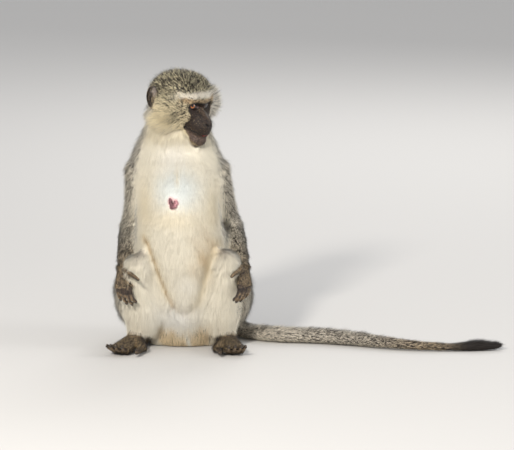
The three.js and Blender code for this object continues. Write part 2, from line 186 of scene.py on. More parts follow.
def nearest_nodes(points):
    """For each point, the number of the frame node whose surface is nearest, and the list of node names."""
    names = sorted(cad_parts)
    corners, triangles, owners = [], [], []
    for number, name in enumerate(names):
        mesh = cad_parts[name].data
        mesh.calc_loop_triangles()
        faces = read(mesh.loop_triangles, "vertices") + sum(len(c) for c in corners)
        corners.append(read(mesh.vertices, "co"))
        triangles.append(faces)
        owners += [number] * len(faces)
    tree = BVHTree.FromPolygons(np.concatenate(corners).tolist(), np.concatenate(triangles).tolist())
    return np.array([owners[tree.find_nearest(p)[2]] for p in points.tolist()]), names


def per_node(labels, names, table, otherwise=0.0):
    """A value for each point, looked up by the kind of part that it belongs to."""
    lookup = np.array([table.get(part_of(name), otherwise) for name in names])
    return lookup[labels]


OUTLINE_NODES = [name for name in sorted(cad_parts) if not name.startswith(("eye_", "ear_"))]
outline = remeshed(joined_solids(OUTLINE_NODES, CUT_CLOSER), BODY_VOXEL)
outline.calc_loop_triangles()
outline_tree = BVHTree.FromPolygons(
    read(outline.vertices, "co").tolist(), read(outline.loop_triangles, "vertices").tolist()
)
body_clay = joined_solids(BODY_NODES, CUT_CLOSER)
KNEE_FLESH = (((59, -43, 137), (23, 19, 21)), ((-61, -43, 132), (23, 19, 21)))  # over thigh and shank
for at, half in KNEE_FLESH:
    shape = Matrix.Translation(Vector(at) * MM) @ Matrix.Diagonal((*(Vector(half) * MM), 1))
    bmesh.ops.create_icosphere(body_clay, subdivisions=4, radius=1, matrix=shape)
body = remeshed(body_clay, BODY_VOXEL)
body_points = read(body.vertices, "co")
body_edges = read(body.edges, "vertices", 2)
body_labels, node_names = nearest_nodes(body_points)
facing = read(body.vertex_normals, "vector")
depth = per_node(body_labels, node_names, COAT_DEPTH, 2 * MM)
on_trunk = per_node(body_labels, node_names, {"trunk": 1.0, "neck": 0.6})
on_haunch = per_node(body_labels, node_names, {"thigh": 0.6, "upper_arm": 0.3})
backwards = smooth_step(facing[:, 1], -0.5, 0.6)
BACK_DEPTH = 5.5 * MM  # the back's coat is deeper than the chest's by this much
depth = depth + (on_trunk + on_haunch) * BACK_DEPTH * backwards
flat = body_points[:, [0, 2]] / MM
groin = np.minimum(near_line(flat, GROIN_RIGHT), near_line(flat, GROIN_LEFT))
in_front = (facing[:, 1] < -0.2) * (body_points[:, 1] < -20 * MM)
GROIN_DEPTH, GROIN_WIDTH = 5 * MM, 4
depth = depth + GROIN_DEPTH * ridge(groin, GROIN_WIDTH) * in_front
underside = 1 - smooth_step(body_points[:, 2], 4 * MM, 22 * MM)
SEAT_THINNING = 0.72  # the coat is pressed flat where she sits and stands
depth = depth * (1 - underside * SEAT_THINNING)

# Round the teats the coat is thin, and the skin comes nearly up to its surface.
TEATS = (Vector((-18.5, -57.5, 229)) * MM, Vector((-9.5, -58, 226)) * MM)
BIB_SIZE, BIB_THINNING = np.array((17, 30, 20)) * MM, 0.35
bib_centre = np.array((TEATS[0] + TEATS[1]) / 2)
to_bib = (body_points - bib_centre) / BIB_SIZE
depth = depth * (1 - BIB_THINNING * np.exp(-((to_bib**2).sum(1))) * (on_trunk > 0))

depth = relaxed(depth, body_edges, 14)
body_points = relaxed(body_points, body_edges, 6)
SHRINK_STEPS = 5
for _ in range(SHRINK_STEPS):
    set_points(body, body_points)
    facing = read(body.vertex_normals, "vector")
    body_points = relaxed(body_points - facing * depth / SHRINK_STEPS, body_edges, 2)
set_points(body, body_points)

# ------------------------------------------------------------------ head
# The skull, jaws and face under their skin. Inside the head, x is forwards, y is her left and z is up, in
# millimetres from the middle of the braincase. It is a ball whose points lie on blended masses of flesh.

HEAD_AT = Vector((-6, -2, 373)) * MM
HEAD_TURN = 50  # degrees from straight ahead, towards her left
HEAD_YAW, HEAD_PITCH = radians(HEAD_TURN - 90), radians(12)
head_turn = Matrix.Rotation(HEAD_YAW, 4, "Z") @ Matrix.Rotation(HEAD_PITCH, 4, "Y")
head_place = Matrix.Translation(HEAD_AT) @ head_turn @ Matrix.Scale(MM, 4)
head_out = np.array(head_place)
head_in = np.linalg.inv(head_out)

EYE_RADIUS = 9.4
EYE_AT = np.array((34.9, 12.4, 1.9))
HEAD_MASSES = {  # centre and half sizes, the coat included; those off the middle are mirrored
    "braincase": ((2, 0, 4), (49, 44, 41.5)),
    "forehead": ((15, 14, 18), (27, 23, 24)),
    "nape": ((-18, 0, -20), (30, 34, 30)),
    "brow": ((35, 0, 12), (11, 27, 8)),
    "cheek ruff": ((17, 35, -5), (24, 30, 28)),
    "jowl": ((9, 29, -25), (27, 28, 24)),
    "throat": ((14, 0, -38), (30, 28, 19)),
    "cheekbone": ((34, 16, -11), (11, 11, 10)),
    "nose bridge": ((43, 0, -6), (11.5, 7.5, 10)),
    "nose ridge": ((50, 0, -14), (9.5, 7, 9)),
    "muzzle": ((45, 0, -25), (19, 17, 16)),
    "nose and lip": ((55, 0, -27), (11, 12, 12)),
    "chin": ((47.5, 0, -48), (14, 12.5, 10.5)),
}
MASS_BLEND = 3.2  # how softly the masses run into each other
LIP_CORNER = np.array((42, 0, -30.5))
LIP_SLOPE = radians(19)


def to_head(points):
    return points @ head_in[:3, :3].T + head_in[:3, 3]


def from_head(points):
    return points @ head_out[:3, :3].T + head_out[:3, 3]


def mirror_y(points):
    return points * np.array((1, -1, 1))


def outside_ellipsoid(points, centre, half):
    """Roughly how far each point is outside an ellipsoid."""
    offset = points - np.array(centre, float)
    stretch = np.maximum(lengths(offset / np.array(half, float))[:, 0], 1e-6)
    return lengths(offset)[:, 0] * (1 - 1 / stretch)


def folded(points):
    """Points with her right side laid over her left, so that a shape off the middle is written once."""
    return np.stack((points[:, 0], np.abs(points[:, 1]), points[:, 2]), 1)


def below_lips(points):
    """How far each point is below the line of the lips."""
    along = points[:, 0] - LIP_CORNER[0]
    return (LIP_CORNER[2] - points[:, 2]) * cos(LIP_SLOPE) - along * sin(LIP_SLOPE)


FACE_EDGE = {  # height: half the width of the bare face there
    -60: 4, -54: 8, -49: 13, -42: 19, -31: 23.5, -24: 23.5, -16: 22, -9: 22, -3: 24.5, 3: 27, 8: 25.5, 12: 12,
}
FACE_BACK = {-60: 44, -46: 41, -37: 37.5, -30: 32, -20: 25, 10: 24}  # height: how far back it reaches there


def bare_face(points, inner=1.5, outer=1.5):
    """1 on the bare dark skin of the face, 0 in the coat, changing from `outer` outside its edge to `inner`
    within it. The edge runs close outside the eyes, narrows over the cheekbones, widens round the corner of
    the mouth and ends under the chin."""
    x, side, z = folded(points).T
    width = np.interp(z, list(FACE_EDGE), list(FACE_EDGE.values()))
    inside = smooth_step(width - side, -outer, inner)
    top = 1 - smooth_step(z, 9.5 - inner, 11 + outer)
    bottom = smooth_step(z, -57 - outer, -55 + inner)
    back = np.interp(z, list(FACE_BACK), list(FACE_BACK.values()))
    return inside * top * bottom * smooth_step(x, back - outer, back + inner + 3)


def head_coat_depth(points):
    """How far the skin lies under the tips of the head's coat."""
    x, side, z = folded(points).T
    crown = 6 + 2.5 * smooth_step(-x, -10, 30)
    ruff = 5 * np.exp(-(((x - 14) / 22) ** 2) - ((side - 46) / 20) ** 2 - ((z + 10) / 28) ** 2)
    throat = 4 * smooth_step(-z, 22, 48)
    chin = smooth_step(x, 26, 40) * smooth_step(-z, 26, 40)
    furred = (crown + ruff + throat) * (1 - 0.72 * chin)
    face = bare_face(points, 2, 14)
    return furred * (1 - face) + 0.15 * face


def groove(distance, width, depth_of):
    return -depth_of * ridge(distance, width)


def blob(points, centre, half, turn=0.0):
    """1 at the centre of a soft ellipsoid and 0 outside it. It is turned in the plane of the face."""
    offset = points - np.array(centre, float)
    y = offset[:, 1] * cos(turn) + offset[:, 2] * sin(turn)
    z = offset[:, 2] * cos(turn) - offset[:, 1] * sin(turn)
    return np.exp(-((offset[:, 0] / half[0]) ** 2) - (y / half[1]) ** 2 - (z / half[2]) ** 2)


def face_folds(points):
    """The folds, creases and pits of the face, as a depth in millimetres, negative inwards."""
    p = folded(points)
    x, side, z = p.T
    # a barely parted mouth: a slit along the lips, and the lips standing a little proud of it
    lips = below_lips(points)
    mouth = smooth_step(x, 41.5, 46)
    shape = groove(lips, 0.8, 2.6) * mouth
    shape += (0.8 * ridge(lips + 2.4, 1.9) + 0.8 * ridge(lips - 2.4, 1.8)) * mouth
    # two folds behind the corner of the mouth
    shape += -1.0 * blob(p, (41, 18.5, -31), (8, 1.0, 5), 0.5)
    shape += -0.8 * blob(p, (37, 21.0, -30), (8, 0.9, 6), 0.5)
    # nostrils: slanting slits close together, each under a raised wing
    shape += 1.1 * blob(p, (61, 6.0, -17.5), (6, 3.0, 3.4))
    shape += -3.4 * blob(p, (64, 3.9, -20.6), (9, 2.6, 0.95), 0.75)
    # the crease round the nose's wing, and the furrow down the upper lip
    shape += -0.8 * blob(p, (57, 9.2, -19.5), (9, 0.9, 4.5), 0.35)
    shape += groove(points[:, 1], 0.8, 0.7) * smooth_step(x, 58, 62) * smooth_step(-z, 23, 26)
    # a crease from the inner corner of the eye down the side of the nose, and a fainter one outside it
    for start, lean, strength in ((8.2, 0.10, 0.7), (12.0, 0.16, 0.45)):
        line = side - (start - lean * (z + 4) + 0.35 * np.sin(z / 2.6 + start))
        shape += groove(line, 0.8, strength) * ridge(z + 10, 6.5) * smooth_step(x, 36, 40)
    # wrinkles under the eye
    eye = lengths((p - EYE_AT) * (0.35, 0.9, 1.15))[:, 0]
    below = smooth_step(EYE_AT[2] - z, 0, 5) * smooth_step(x, 32, 37)
    for ring, strength in ((10.6, 0.5), (12.6, 0.4), (14.8, 0.3)):
        shape += groove(eye - ring + 0.3 * np.sin(side * 0.9), 0.6, strength) * below
    # the heavy fold of the upper lid, and frown lines between the brows
    above = smooth_step(z - EYE_AT[2], 2, 5) * smooth_step(x, 32, 37)
    shape += groove(eye - 10.4, 0.7, 0.6) * above
    shape += -0.6 * blob(p, (44, 2.4, 7), (9, 0.7, 4.5))
    return shape


LID_THICKNESS = 1.0
LID_BLEND = 1.3
SOCKET_SOFTNESS = 1.6
WINDOW_DEPTH = 2.2  # how far the opening between the lids reaches into the eye's place
LID_WIDE, LID_HIGH = radians(55), radians(32)  # half the opening between the lids, seen from the eye's centre
EYE_TURN = radians(-10)  # below 0, the opening looks outwards by this much from straight ahead


def lid_angles(points):
    """Where each point lies round the eye: its angles sideways and upwards from the opening's middle."""
    offset = folded(points) - EYE_AT
    turned_x = offset[:, 0] * cos(EYE_TURN) - offset[:, 1] * sin(EYE_TURN)
    turned_y = offset[:, 0] * sin(EYE_TURN) + offset[:, 1] * cos(EYE_TURN)
    return np.arctan2(turned_y, turned_x), np.arctan2(offset[:, 2], np.hypot(turned_x, turned_y))


def lid_opening(points):
    """Less than 0 between the eyelids, as an angle."""
    sideways, upwards = lid_angles(points)
    share = np.clip(1 - (sideways / LID_WIDE) ** 2, 0, None)
    half_high = LID_HIGH * share**0.75
    middle = radians(2.5) * np.sin(sideways * 1.2)  # the outer corner sits a little higher
    return np.maximum(np.abs(upwards - middle) - half_high, np.abs(sideways) - LID_WIDE)


def head_field(points):
    """Less than 0 inside the head's flesh, in millimetres."""
    p = folded(points)
    other = mirror_y(p)
    total = np.zeros(len(points))
    for centre, half in HEAD_MASSES.values():
        total += np.exp(-outside_ellipsoid(p, centre, half) / MASS_BLEND)
        if centre[1]:
            total += np.exp(-outside_ellipsoid(other, centre, half) / MASS_BLEND)
    field = -MASS_BLEND * np.log(total) + head_coat_depth(points)
    socket = lengths((p - (EYE_AT + (13.0, 2.2, -0.8))) / (9.5, 11, 7.6))[:, 0] * 8 - 8
    field = SOCKET_SOFTNESS * np.logaddexp(field / SOCKET_SOFTNESS, -socket / SOCKET_SOFTNESS)
    ball = lengths(p - EYE_AT)[:, 0]
    lids = ball - (EYE_RADIUS + LID_THICKNESS)
    field = -LID_BLEND * np.logaddexp(-field / LID_BLEND, -lids / LID_BLEND)
    field = field - face_folds(points)
    opening = np.maximum(lid_opening(points) * EYE_RADIUS, EYE_RADIUS - WINDOW_DEPTH - ball)
    forward = (p - EYE_AT)[:, 0] > 0
    return np.where(forward, np.maximum(field, -opening), field)


HEART = np.array((-8, 0, -6.0))  # every point of the skin can be seen from here
FACE_REACH = ((0.60, 0.38), (0.44, 0.27))  # how far to the side and up each finer division of the ball goes
FARTHEST = 110.0
SEARCHES = 16  # each halves the stretch in which the skin lies


def head_skin():
    """The ball, finer where the face is, finest round the eyes, nose and mouth."""
    ball = bmesh.new()
    bmesh.ops.create_icosphere(ball, subdivisions=6, radius=1)
    for sideways, upwards in FACE_REACH:
        fine = []
        for edge in ball.edges:
            middle = ((edge.verts[0].co + edge.verts[1].co) / 2).normalized()
            if middle.x > 0.5 and abs(middle.y) < sideways and -0.82 < middle.z < upwards:
                fine.append(edge)
        bmesh.ops.subdivide_edges(ball, edges=fine, cuts=1, use_grid_fill=True)
    bmesh.ops.triangulate(ball, faces=ball.faces)
    mesh = mesh_of(ball)
    rays = unit(read(mesh.vertices, "co"))
    near, far = np.zeros(len(rays)), np.full(len(rays), FARTHEST)
    for _ in range(SEARCHES):
        middle = (near + far) / 2
        inside = head_field(HEART + rays * middle[:, None]) < 0
        near, far = np.where(inside, middle, near), np.where(inside, far, middle)
    set_points(mesh, from_head(HEART + rays * near[:, None]))
    return mesh


head = head_skin()

# ------------------------------------------------------------------ eyelid margins
# The thick dark edge of both lids, a soft rim all round the almond opening. It is drawn round the opening
# as a thin roll and grows into the skin beside it.

LID_MARGIN = 0.85  # radius of the roll
LID_POINTS = 72


def on_eye(sideways, upwards, radius):
    """The point on a ball round her left eye that lies at these angles from the middle of the opening."""
    ahead = cos(upwards) * cos(sideways)
    out = cos(upwards) * sin(sideways)
    x = ahead * cos(EYE_TURN) + out * sin(EYE_TURN)
    y = out * cos(EYE_TURN) - ahead * sin(EYE_TURN)
    return EYE_AT + radius * np.array((x, y, sin(upwards)))


def lid_line(radius):
    points = []
    for step in range(LID_POINTS):
        turn = 2 * pi * step / LID_POINTS
        sideways = LID_WIDE * cos(turn)
        half_high = LID_HIGH * (sin(turn) ** 2) ** 0.75
        middle = radians(2.5) * sin(sideways * 1.2)
        points.append(on_eye(sideways, middle + half_high * (1 if sin(turn) > 0 else -1), radius))
    return np.array(points)


def rolled(points, radius):
    """A closed round cord through these points, as a mesh."""
    curve = bpy.data.curves.new("roll", "CURVE")
    curve.dimensions = "3D"
    curve.bevel_depth = radius
    curve.bevel_resolution = 2
    spline = curve.splines.new("POLY")
    spline.points.add(len(points) - 1)
    spline.points.foreach_set("co", np.column_stack((points, np.ones(len(points)))).ravel())
    spline.use_cyclic_u = True
    holder = bpy.data.objects.new("roll", curve)
    mesh = bpy.data.meshes.new_from_object(holder)
    bpy.data.objects.remove(holder)
    bpy.data.curves.remove(curve)
    return mesh


def eyelid(sign):
    line = lid_line(EYE_RADIUS + 0.75) * np.array((1, sign, 1))
    return rolled(from_head(line if sign > 0 else line[::-1]), LID_MARGIN * MM)


# ------------------------------------------------------------------ ears
# Thin oval ears of gristle and bare skin: a deep bowl, a groove and a rolled rim on the side that faces
# outwards, a smooth back, and a root that joins the skull. Each is a ball pressed flat and then modelled.

EAR_AT = np.array((-13.0, 46.5, 4.0))
EAR_SIZE = (19.5, 35.0)  # across and high
EAR_FLARE = radians(13)  # the back edge stands out from the head
EAR_TILT = radians(8)  # the top leans backwards


def ear(sign):
    ball = bmesh.new()
    bmesh.ops.create_uvsphere(ball, u_segments=56, v_segments=40, radius=1)
    bmesh.ops.triangulate(ball, faces=ball.faces)
    mesh = mesh_of(ball)
    across, high, outward = read(mesh.vertices, "co").T
    out = np.hypot(across, high)
    bowl = np.hypot(across - 0.12, high + 0.16) / 0.56
    front = -5.2 * np.clip(1 - bowl**2, 0, 1) - 1.8 * (1 - out**2)
    front += 1.3 * ridge(out - 0.90, 0.085) - 1.1 * ridge(out - 0.75, 0.08)
    front += 1.2 * np.exp(-((across - 0.78) / 0.16) ** 2 - ((high + 0.22) / 0.22) ** 2)
    back = front - 1.7 - 1.6 * np.sqrt(np.clip(1 - out**2, 0, 1))
    share = smooth_step(outward, -0.25, 0.25)
    level = front * share + back * (1 - share)
    narrower = 1 - 0.14 * smooth_step(-high, 0, 1)
    a, b = across * EAR_SIZE[0] / 2 * narrower, high * EAR_SIZE[1] / 2
    a, b = a * cos(EAR_TILT) - b * sin(EAR_TILT), a * sin(EAR_TILT) + b * cos(EAR_TILT)
    x = a * cos(EAR_FLARE) + level * sin(EAR_FLARE)
    y = level * cos(EAR_FLARE) - a * sin(EAR_FLARE)
    place = np.stack((EAR_AT[0] + x, (EAR_AT[1] + y) * sign, EAR_AT[2] + b), 1)
    set_points(mesh, from_head(place))
    whole = together([mesh])
    bmesh.ops.recalc_face_normals(whole, faces=whole.faces)
    return mesh_of(whole)


def ear_root(sign):
    """The fleshy base that carries the ear out from the skull."""
    root = bmesh.new()
    shape = Matrix.Translation((-11, 36 * sign, 3)) @ Matrix.Diagonal((8.5, 10.5, 13.5, 1))
    bmesh.ops.create_icosphere(root, subdivisions=4, radius=1, matrix=head_place @ shape)
    return mesh_of(root)


# ------------------------------------------------------------------ hands and feet
# Long narrow hands and feet, thinly haired on the back. Each bone is laid as a row of beads of clay, which
# are then fused and smoothed into palm, knuckles, pads and webs.

HAND_VOXEL, FOOT_VOXEL = 1.15 * MM, 1.4 * MM
ARMS = {
    "left": {"shoulder": (45, 6, 266), "elbow": (73, 58, 176), "wrist": (90, -42, 124),
             "knuckles": (92, -63, 101), "outward": (0.7, 0.7, 0.1), "thumb_root": (86, -57, 124),
             "thumb_tip": (73, -81, 118)},
    "right": {"shoulder": (-62, 4, 266), "elbow": (-80, 58, 176), "wrist": (-88, -42, 123),
              "knuckles": (-88, -63, 98), "outward": (-0.9, 0.42, 0.1), "thumb_root": (-84, -60, 122),
              "thumb_tip": (-65, -89, 115)},
}
LEGS = {
    "left": {"hip": (46, 40, 56), "knee": (63, -50, 138), "ankle": (66, -34, 26), "ball": (77, -88, 8),
             "big_toe": ((51, -74, 9), (57, -113, 6))},
    "right": {"hip": (-44, 40, 56), "knee": (-66, -50, 132), "ankle": (-70, -34, 26), "ball": (-92, -86, 8),
              "big_toe": ((-60, -74, 9), (-69, -113, 6))},
}
BONE_SHARES = (0.45, 0.32, 0.23)
FINGERS = ((-10, 25), (-3.4, 30), (3.4, 29), (10, 23))  # place across the knuckles, and length
TOES = ((-9.5, 27), (-2.8, 31), (4, 29), (10.5, 24))
FINGER_BENDS, THUMB_BENDS = (34, 42, 30), (2, 6, 0)  # in degrees, at each joint
TOE_BENDS, BIG_TOE_BENDS = (16, 22, 16), (4, 8, 6)
FINGER_RADIUS, THUMB_RADIUS, TOE_RADIUS, BIG_TOE_RADIUS = 3.15, 3.5, 3.5, 4.5


def arm_points(side):
    return {name: Vector(value) for name, value in ARMS[side].items()}


def digit_path(root, aim, bend_axis, bends, length):
    """The joints of a digit from its root to its tip, and the directions of its bones."""
    joints, bones = [root.copy()], []
    along = aim.normalized()
    for share, bend in zip(BONE_SHARES, bends):
        joints.append(joints[-1] + along * length * share)
        bones.append(along.copy())
        along = Matrix.Rotation(radians(bend), 3, bend_axis) @ along
    return joints, bones


def add_bead(clay, at, radius):
    bmesh.ops.create_icosphere(clay, subdivisions=2, radius=radius * MM, matrix=Matrix.Translation(at * MM))


def add_row(clay, start, end, first, last):
    """Overlapping beads from one joint to the next."""
    count = max(2, round((end - start).length / (0.45 * min(first, last))))
    for step in range(count + 1):
        share = step / count
        waist = 1 - 0.09 * sin(pi * share)
        add_bead(clay, start.lerp(end, share), (first + (last - first) * share) * waist)


def add_digit(clay, path, bones, bend_axis, radius):
    """Joint knobs, narrower shafts and a soft pad under the tip."""
    sizes = [radius, radius * 0.97, radius * 0.86, radius * 0.72]
    for number in range(3):
        add_row(clay, path[number], path[number + 1], sizes[number], sizes[number + 1])
    palmward = bend_axis.cross(bones[2])
    add_bead(clay, path[3] - bones[2] * 2.0 + palmward * 0.7, radius * 0.8)


def hand_digits(side, sign):
    """Every digit of a hand: its joints, its bones, the axis it bends about and its radius."""
    arm = arm_points(side)
    across = arm["outward"].normalized()
    bend_axis = across * sign
    aim = (arm["knuckles"] - arm["wrist"]).normalized()
    found = []
    for place, length in FINGERS:
        spread = aim + across * (place * 0.012 - 0.18)
        path, bones = digit_path(arm["knuckles"] + across * place, spread, bend_axis, FINGER_BENDS, length)
        found.append((path, bones, bend_axis, FINGER_RADIUS))
    line = arm["thumb_tip"] - arm["thumb_root"]
    path, bones = digit_path(arm["thumb_root"], line, bend_axis, THUMB_BENDS, line.length - 1)
    found.append((path, bones, bend_axis, THUMB_RADIUS))
    return found


def hand(side, sign):
    arm = arm_points(side)
    across = arm["outward"].normalized()
    clay = bmesh.new()
    add_row(clay, arm["wrist"].lerp(arm["elbow"], 0.26), arm["wrist"], 10.5, 8.2)
    for path, bones, bend_axis, radius in hand_digits(side, sign):
        add_digit(clay, path, bones, bend_axis, radius)
        start = arm["wrist"] + across * 0.42 * (path[0] - arm["knuckles"]).dot(across)
        add_row(clay, start, path[0], 6.6, 4.6)
    return softened(remeshed(clay, HAND_VOXEL), 3)


def softened(mesh, times):
    points = relaxed(read(mesh.vertices, "co"), read(mesh.edges, "vertices", 2), times)
    set_points(mesh, points)
    return mesh


def foot_frame(side, sign):
    leg = {name: Vector(value) for name, value in LEGS[side].items() if name != "big_toe"}
    along = (leg["ball"] - leg["ankle"]) * Vector((1, 1, 0))
    along.normalize()
    across = Vector((-along.y, along.x, 0)) * sign
    return leg, along, across


def foot_digits(side, sign):
    leg, along, across = foot_frame(side, sign)
    bend_axis = -sign * across
    found = []
    for place, length in TOES:
        root = leg["ball"] + across * place - along * 0.2 * abs(place)
        aim = along + across * place * 0.012
        aim.z = 0.16
        path, bones = digit_path(root, aim, bend_axis, TOE_BENDS, length)
        found.append((path, bones, bend_axis, TOE_RADIUS))
    root, tip = (Vector(point) for point in LEGS[side]["big_toe"])
    path, bones = digit_path(root, tip - root, bend_axis, BIG_TOE_BENDS, (tip - root).length - 4.3)
    found.append((path, bones, bend_axis, BIG_TOE_RADIUS))
    return found


def foot(side, sign):
    leg, along, across = foot_frame(side, sign)
    clay = bmesh.new()
    heel = Vector((*(leg["ankle"] - along * 22).xy, 11))
    ankle = Vector((*leg["ankle"].xy, 15))
    add_row(clay, leg["ankle"].lerp(leg["knee"], 0.2), ankle, 11, 11.5)
    add_row(clay, heel, ankle, 9.6, 11.5)
    for path, bones, bend_axis, radius in foot_digits(side, sign):
        add_digit(clay, path, bones, bend_axis, radius)
        add_row(clay, ankle, path[0], 11, 6.2)
    return softened(remeshed(clay, FOOT_VOXEL), 3)


# ------------------------------------------------------------------ teats
# A nursing female's two long soft teats of folded skin, close together on the chest and hanging a little.
# The one on her left is the shorter. Each is a row of beads, smoothed and grown into the chest.

TEAT_LENGTHS, TEAT_RADIUS = (13, 8.5), 2.9


def teat_ends(number):
    """A teat's root and tip, in millimetres. The two teats lean together."""
    middle = (TEATS[0].x + TEATS[1].x) / 2 / MM
    root = TEATS[number] / MM
    return root, root + Vector(((middle - root.x) * 0.6, -3.0, -TEAT_LENGTHS[number] * 0.8))


def teat(number):
    clay = bmesh.new()
    root, tip = teat_ends(number)
    add_row(clay, root + Vector((0, 14, 3)), root, TEAT_RADIUS, TEAT_RADIUS * 0.8)
    add_row(clay, root, tip, TEAT_RADIUS * 0.8, TEAT_RADIUS)
    for share in (0.1, 0.4, 0.7, 1.0):  # folds round it, the one after the other bulging left and right
        bulge = Vector((1.3 * cos(share * 10), -0.6, 0))
        add_bead(clay, root.lerp(tip, share) + bulge, TEAT_RADIUS * 0.95)
    return softened(remeshed(clay, HAND_VOXEL), 2)


# ------------------------------------------------------------------ one skin
# The hide of the whole animal, closed and without a seam. The head, hands, feet, ears, eyelids and teats
# that were modelled above are grown into the body one after the other.


def placed(name, whole):
    return shown(name, mesh_of(whole, name))


def fused(base, addition):
    """base with another closed shape grown into it."""
    modifier = base.modifiers.new("grow", "BOOLEAN")
    modifier.operation = "UNION"
    modifier.solver = "MANIFOLD"
    modifier.object = addition
    mesh = modified(base)
    base.modifiers.clear()
    old, base.data = base.data, mesh
    bpy.data.meshes.remove(old)
    bpy.data.objects.remove(addition)


SIDES = (("left", 1), ("right", -1))
skin = placed("skin", together([body]))
extremities = [head] + [hand(side, sign) for side, sign in SIDES] + [foot(side, sign) for side, sign in SIDES]
fused(skin, placed("extremities", together(extremities)))
fused(skin, placed("ear_roots", together([ear_root(sign) for _, sign in SIDES])))
details = [ear(sign) for _, sign in SIDES] + [eyelid(sign) for _, sign in SIDES]
fused(skin, placed("details", together(details)))
for number in range(len(TEATS)):
    fused(skin, placed(f"teat_{number}", together([teat(number)])))
skin_finish = bmesh.new()
skin_finish.from_mesh(skin.data)
bmesh.ops.dissolve_degenerate(skin_finish, edges=skin_finish.edges, dist=1e-5)
bmesh.ops.triangulate(skin_finish, faces=skin_finish.faces)
for face in skin_finish.faces:
    face.smooth = True
skin_finish.to_mesh(skin.data)
skin_finish.free()

# ------------------------------------------------------------------ markings
# What colour the skin and its coat are, and how strongly each hair is ticked: cream in front, grizzled grey
# outside, olive on the crown, black on hands, feet, face and tail tip. Skin and coat read the same values.

skin_points = read(skin.data.vertices, "co")
skin_edges = read(skin.data.edges, "vertices", 2)
skin_normals = read(skin.data.vertex_normals, "vector")
skin_labels, _ = nearest_nodes(skin_points)
part_names = np.array([part_of(name) for name in node_names])[skin_labels]
her_left = np.array([name.endswith("_left") for name in node_names])[skin_labels]
place = skin_points / MM
on_head = to_head(skin_points)


def paint(code):
    """A colour written as in a paint chart, as the linear values that the shaders use."""
    values = np.array([int(code[k : k + 2], 16) / 255 for k in (1, 3, 5)])
    return np.where(values <= 0.04045, values / 12.92, ((values + 0.055) / 1.055) ** 2.4)


def is_part(*parts):
    return np.isin(part_names, parts).astype(float)


CREAM, WARM_CREAM, WHITE = paint("#F7EED8"), paint("#EBD9B2"), paint("#F6F0E2")
GREY, OLIVE, BROW = paint("#DCD4C4"), paint("#D8CCA6"), paint("#E2DACB")
CHEEK, TAN, BROWN = paint("#E8D8B2"), paint("#C9A469"), paint("#DCC399")
CREASE_SHADE, FAR_GREY, SNOW = paint("#9C7645"), paint("#D9D2C4"), paint("#FBF8EF")
WARM_GREY = paint("#E3D9C4")
BLACK, HAND_BROWN, TAIL_GREY = paint("#2C2622"), paint("#C0A782"), paint("#E0D5C2")
BLUE_WHITE, KNEE_GREY = paint("#E9EDE8"), paint("#B3A899")

coat_colour = np.tile(CREAM, (len(place), 1))
ticking = np.full(len(place), 0.0)


def lay(colour, ticked, mask):
    """Lays a colour and its ticking over what is there, as strongly as the mask says."""
    global coat_colour, ticking
    mask = np.clip(mask, 0, 1)
    coat_colour = coat_colour + mask[:, None] * (colour - coat_colour)
    ticking = ticking + mask * (ticked - ticking)


def mound(x_share, z_share):
    """1 at the middle of a soft round patch."""
    return np.exp(-(x_share**2) - z_share**2)


def lay_patches(mask, rows):
    """Lays soft round patches of plain hair: each row is a colour, its strength, middle and half sizes."""
    for colour, strength, (at_x, at_z), (wide, high) in rows:
        lay(colour, 0.0, mask * mound((x - at_x) / wide, (z - at_z) / high) * strength)


x, y, z = place.T
ahead, aside, height = on_head[:, 0], np.abs(on_head[:, 1]), on_head[:, 2]
torso, legs = is_part("trunk", "neck"), is_part("thigh", "shank")
arms, head_parts = is_part("upper_arm", "forearm"), is_part("head", "lower_jaw", "eye")
facing_back = smooth_step(skin_normals[:, 1], -0.42, 0.12)
facing_front = smooth_step(-skin_normals[:, 1], -0.1, 0.4) * (y < -20)

# grizzled over the back and outside, cream in front: the edge runs down the outside of shoulders and arms
BODY_MIDDLE = -8
outwards = np.abs(x - BODY_MIDDLE)
EDGE_LEVELS = (115, 140, 160, 186, 216, 268, 291, 306, 321, 345)
EDGE_AT = (-20, 50, 64, 66, 65, 59, 53, 48, 41, 35)
left_shift = 10 * smooth_step(x, 0, 40) * (1 - smooth_step(z, 165, 215))
grizzled_edge = np.interp(z, EDGE_LEVELS, EDGE_AT) + left_shift
outer = smooth_step(outwards - grizzled_edge, -3, 9)
lay(GREY, 0.95, torso * np.maximum(facing_back, outer * smooth_step(z, 190, 215)))
arm_back = smooth_step(skin_normals[:, 1], -0.25, 0.2)
lay(WARM_GREY, 0.84, arms * np.maximum(arm_back, outer))
leg_back = smooth_step(skin_normals[:, 1], -0.2, 0.35) * smooth_step(y, -38, -20)
outer_leg = np.maximum(smooth_step(np.abs(x + 3), 78, 92), leg_back)
lay(WARM_GREY, 0.56, legs * outer_leg)
for knee_x, knee_z in ((-65, 150), (62, 153)):
    lay(KNEE_GREY, 0.15, legs * mound((x - knee_x) / 12, (z - knee_z) / 13))
dark_wrist = 1 - smooth_step(z, 115, 170)
lay(HAND_BROWN, 1.0, is_part("forearm") * dark_wrist * 0.9)
lay(HAND_BROWN, 1.0, is_part("hand"))
lay(HAND_BROWN, 0.8, is_part("foot") * (1 - smooth_step(z, 21, 34)))
tail = is_part(*TAIL_PARTS)
lay(TAIL_GREY, 0.85, tail)
lay(TAIL_GREY, 0.4, tail * (1 - smooth_step(x, 120, 220)))
lay(CREAM, 0.5, tail * smooth_step(-skin_normals[:, 2], 0.1, 0.8) * 0.5)
lay(HAND_BROWN, 1.1, tail * smooth_step(x, 260, 370) * 0.8)
lay(BLACK, 0.6, tail * smooth_step(x, 365, 425))

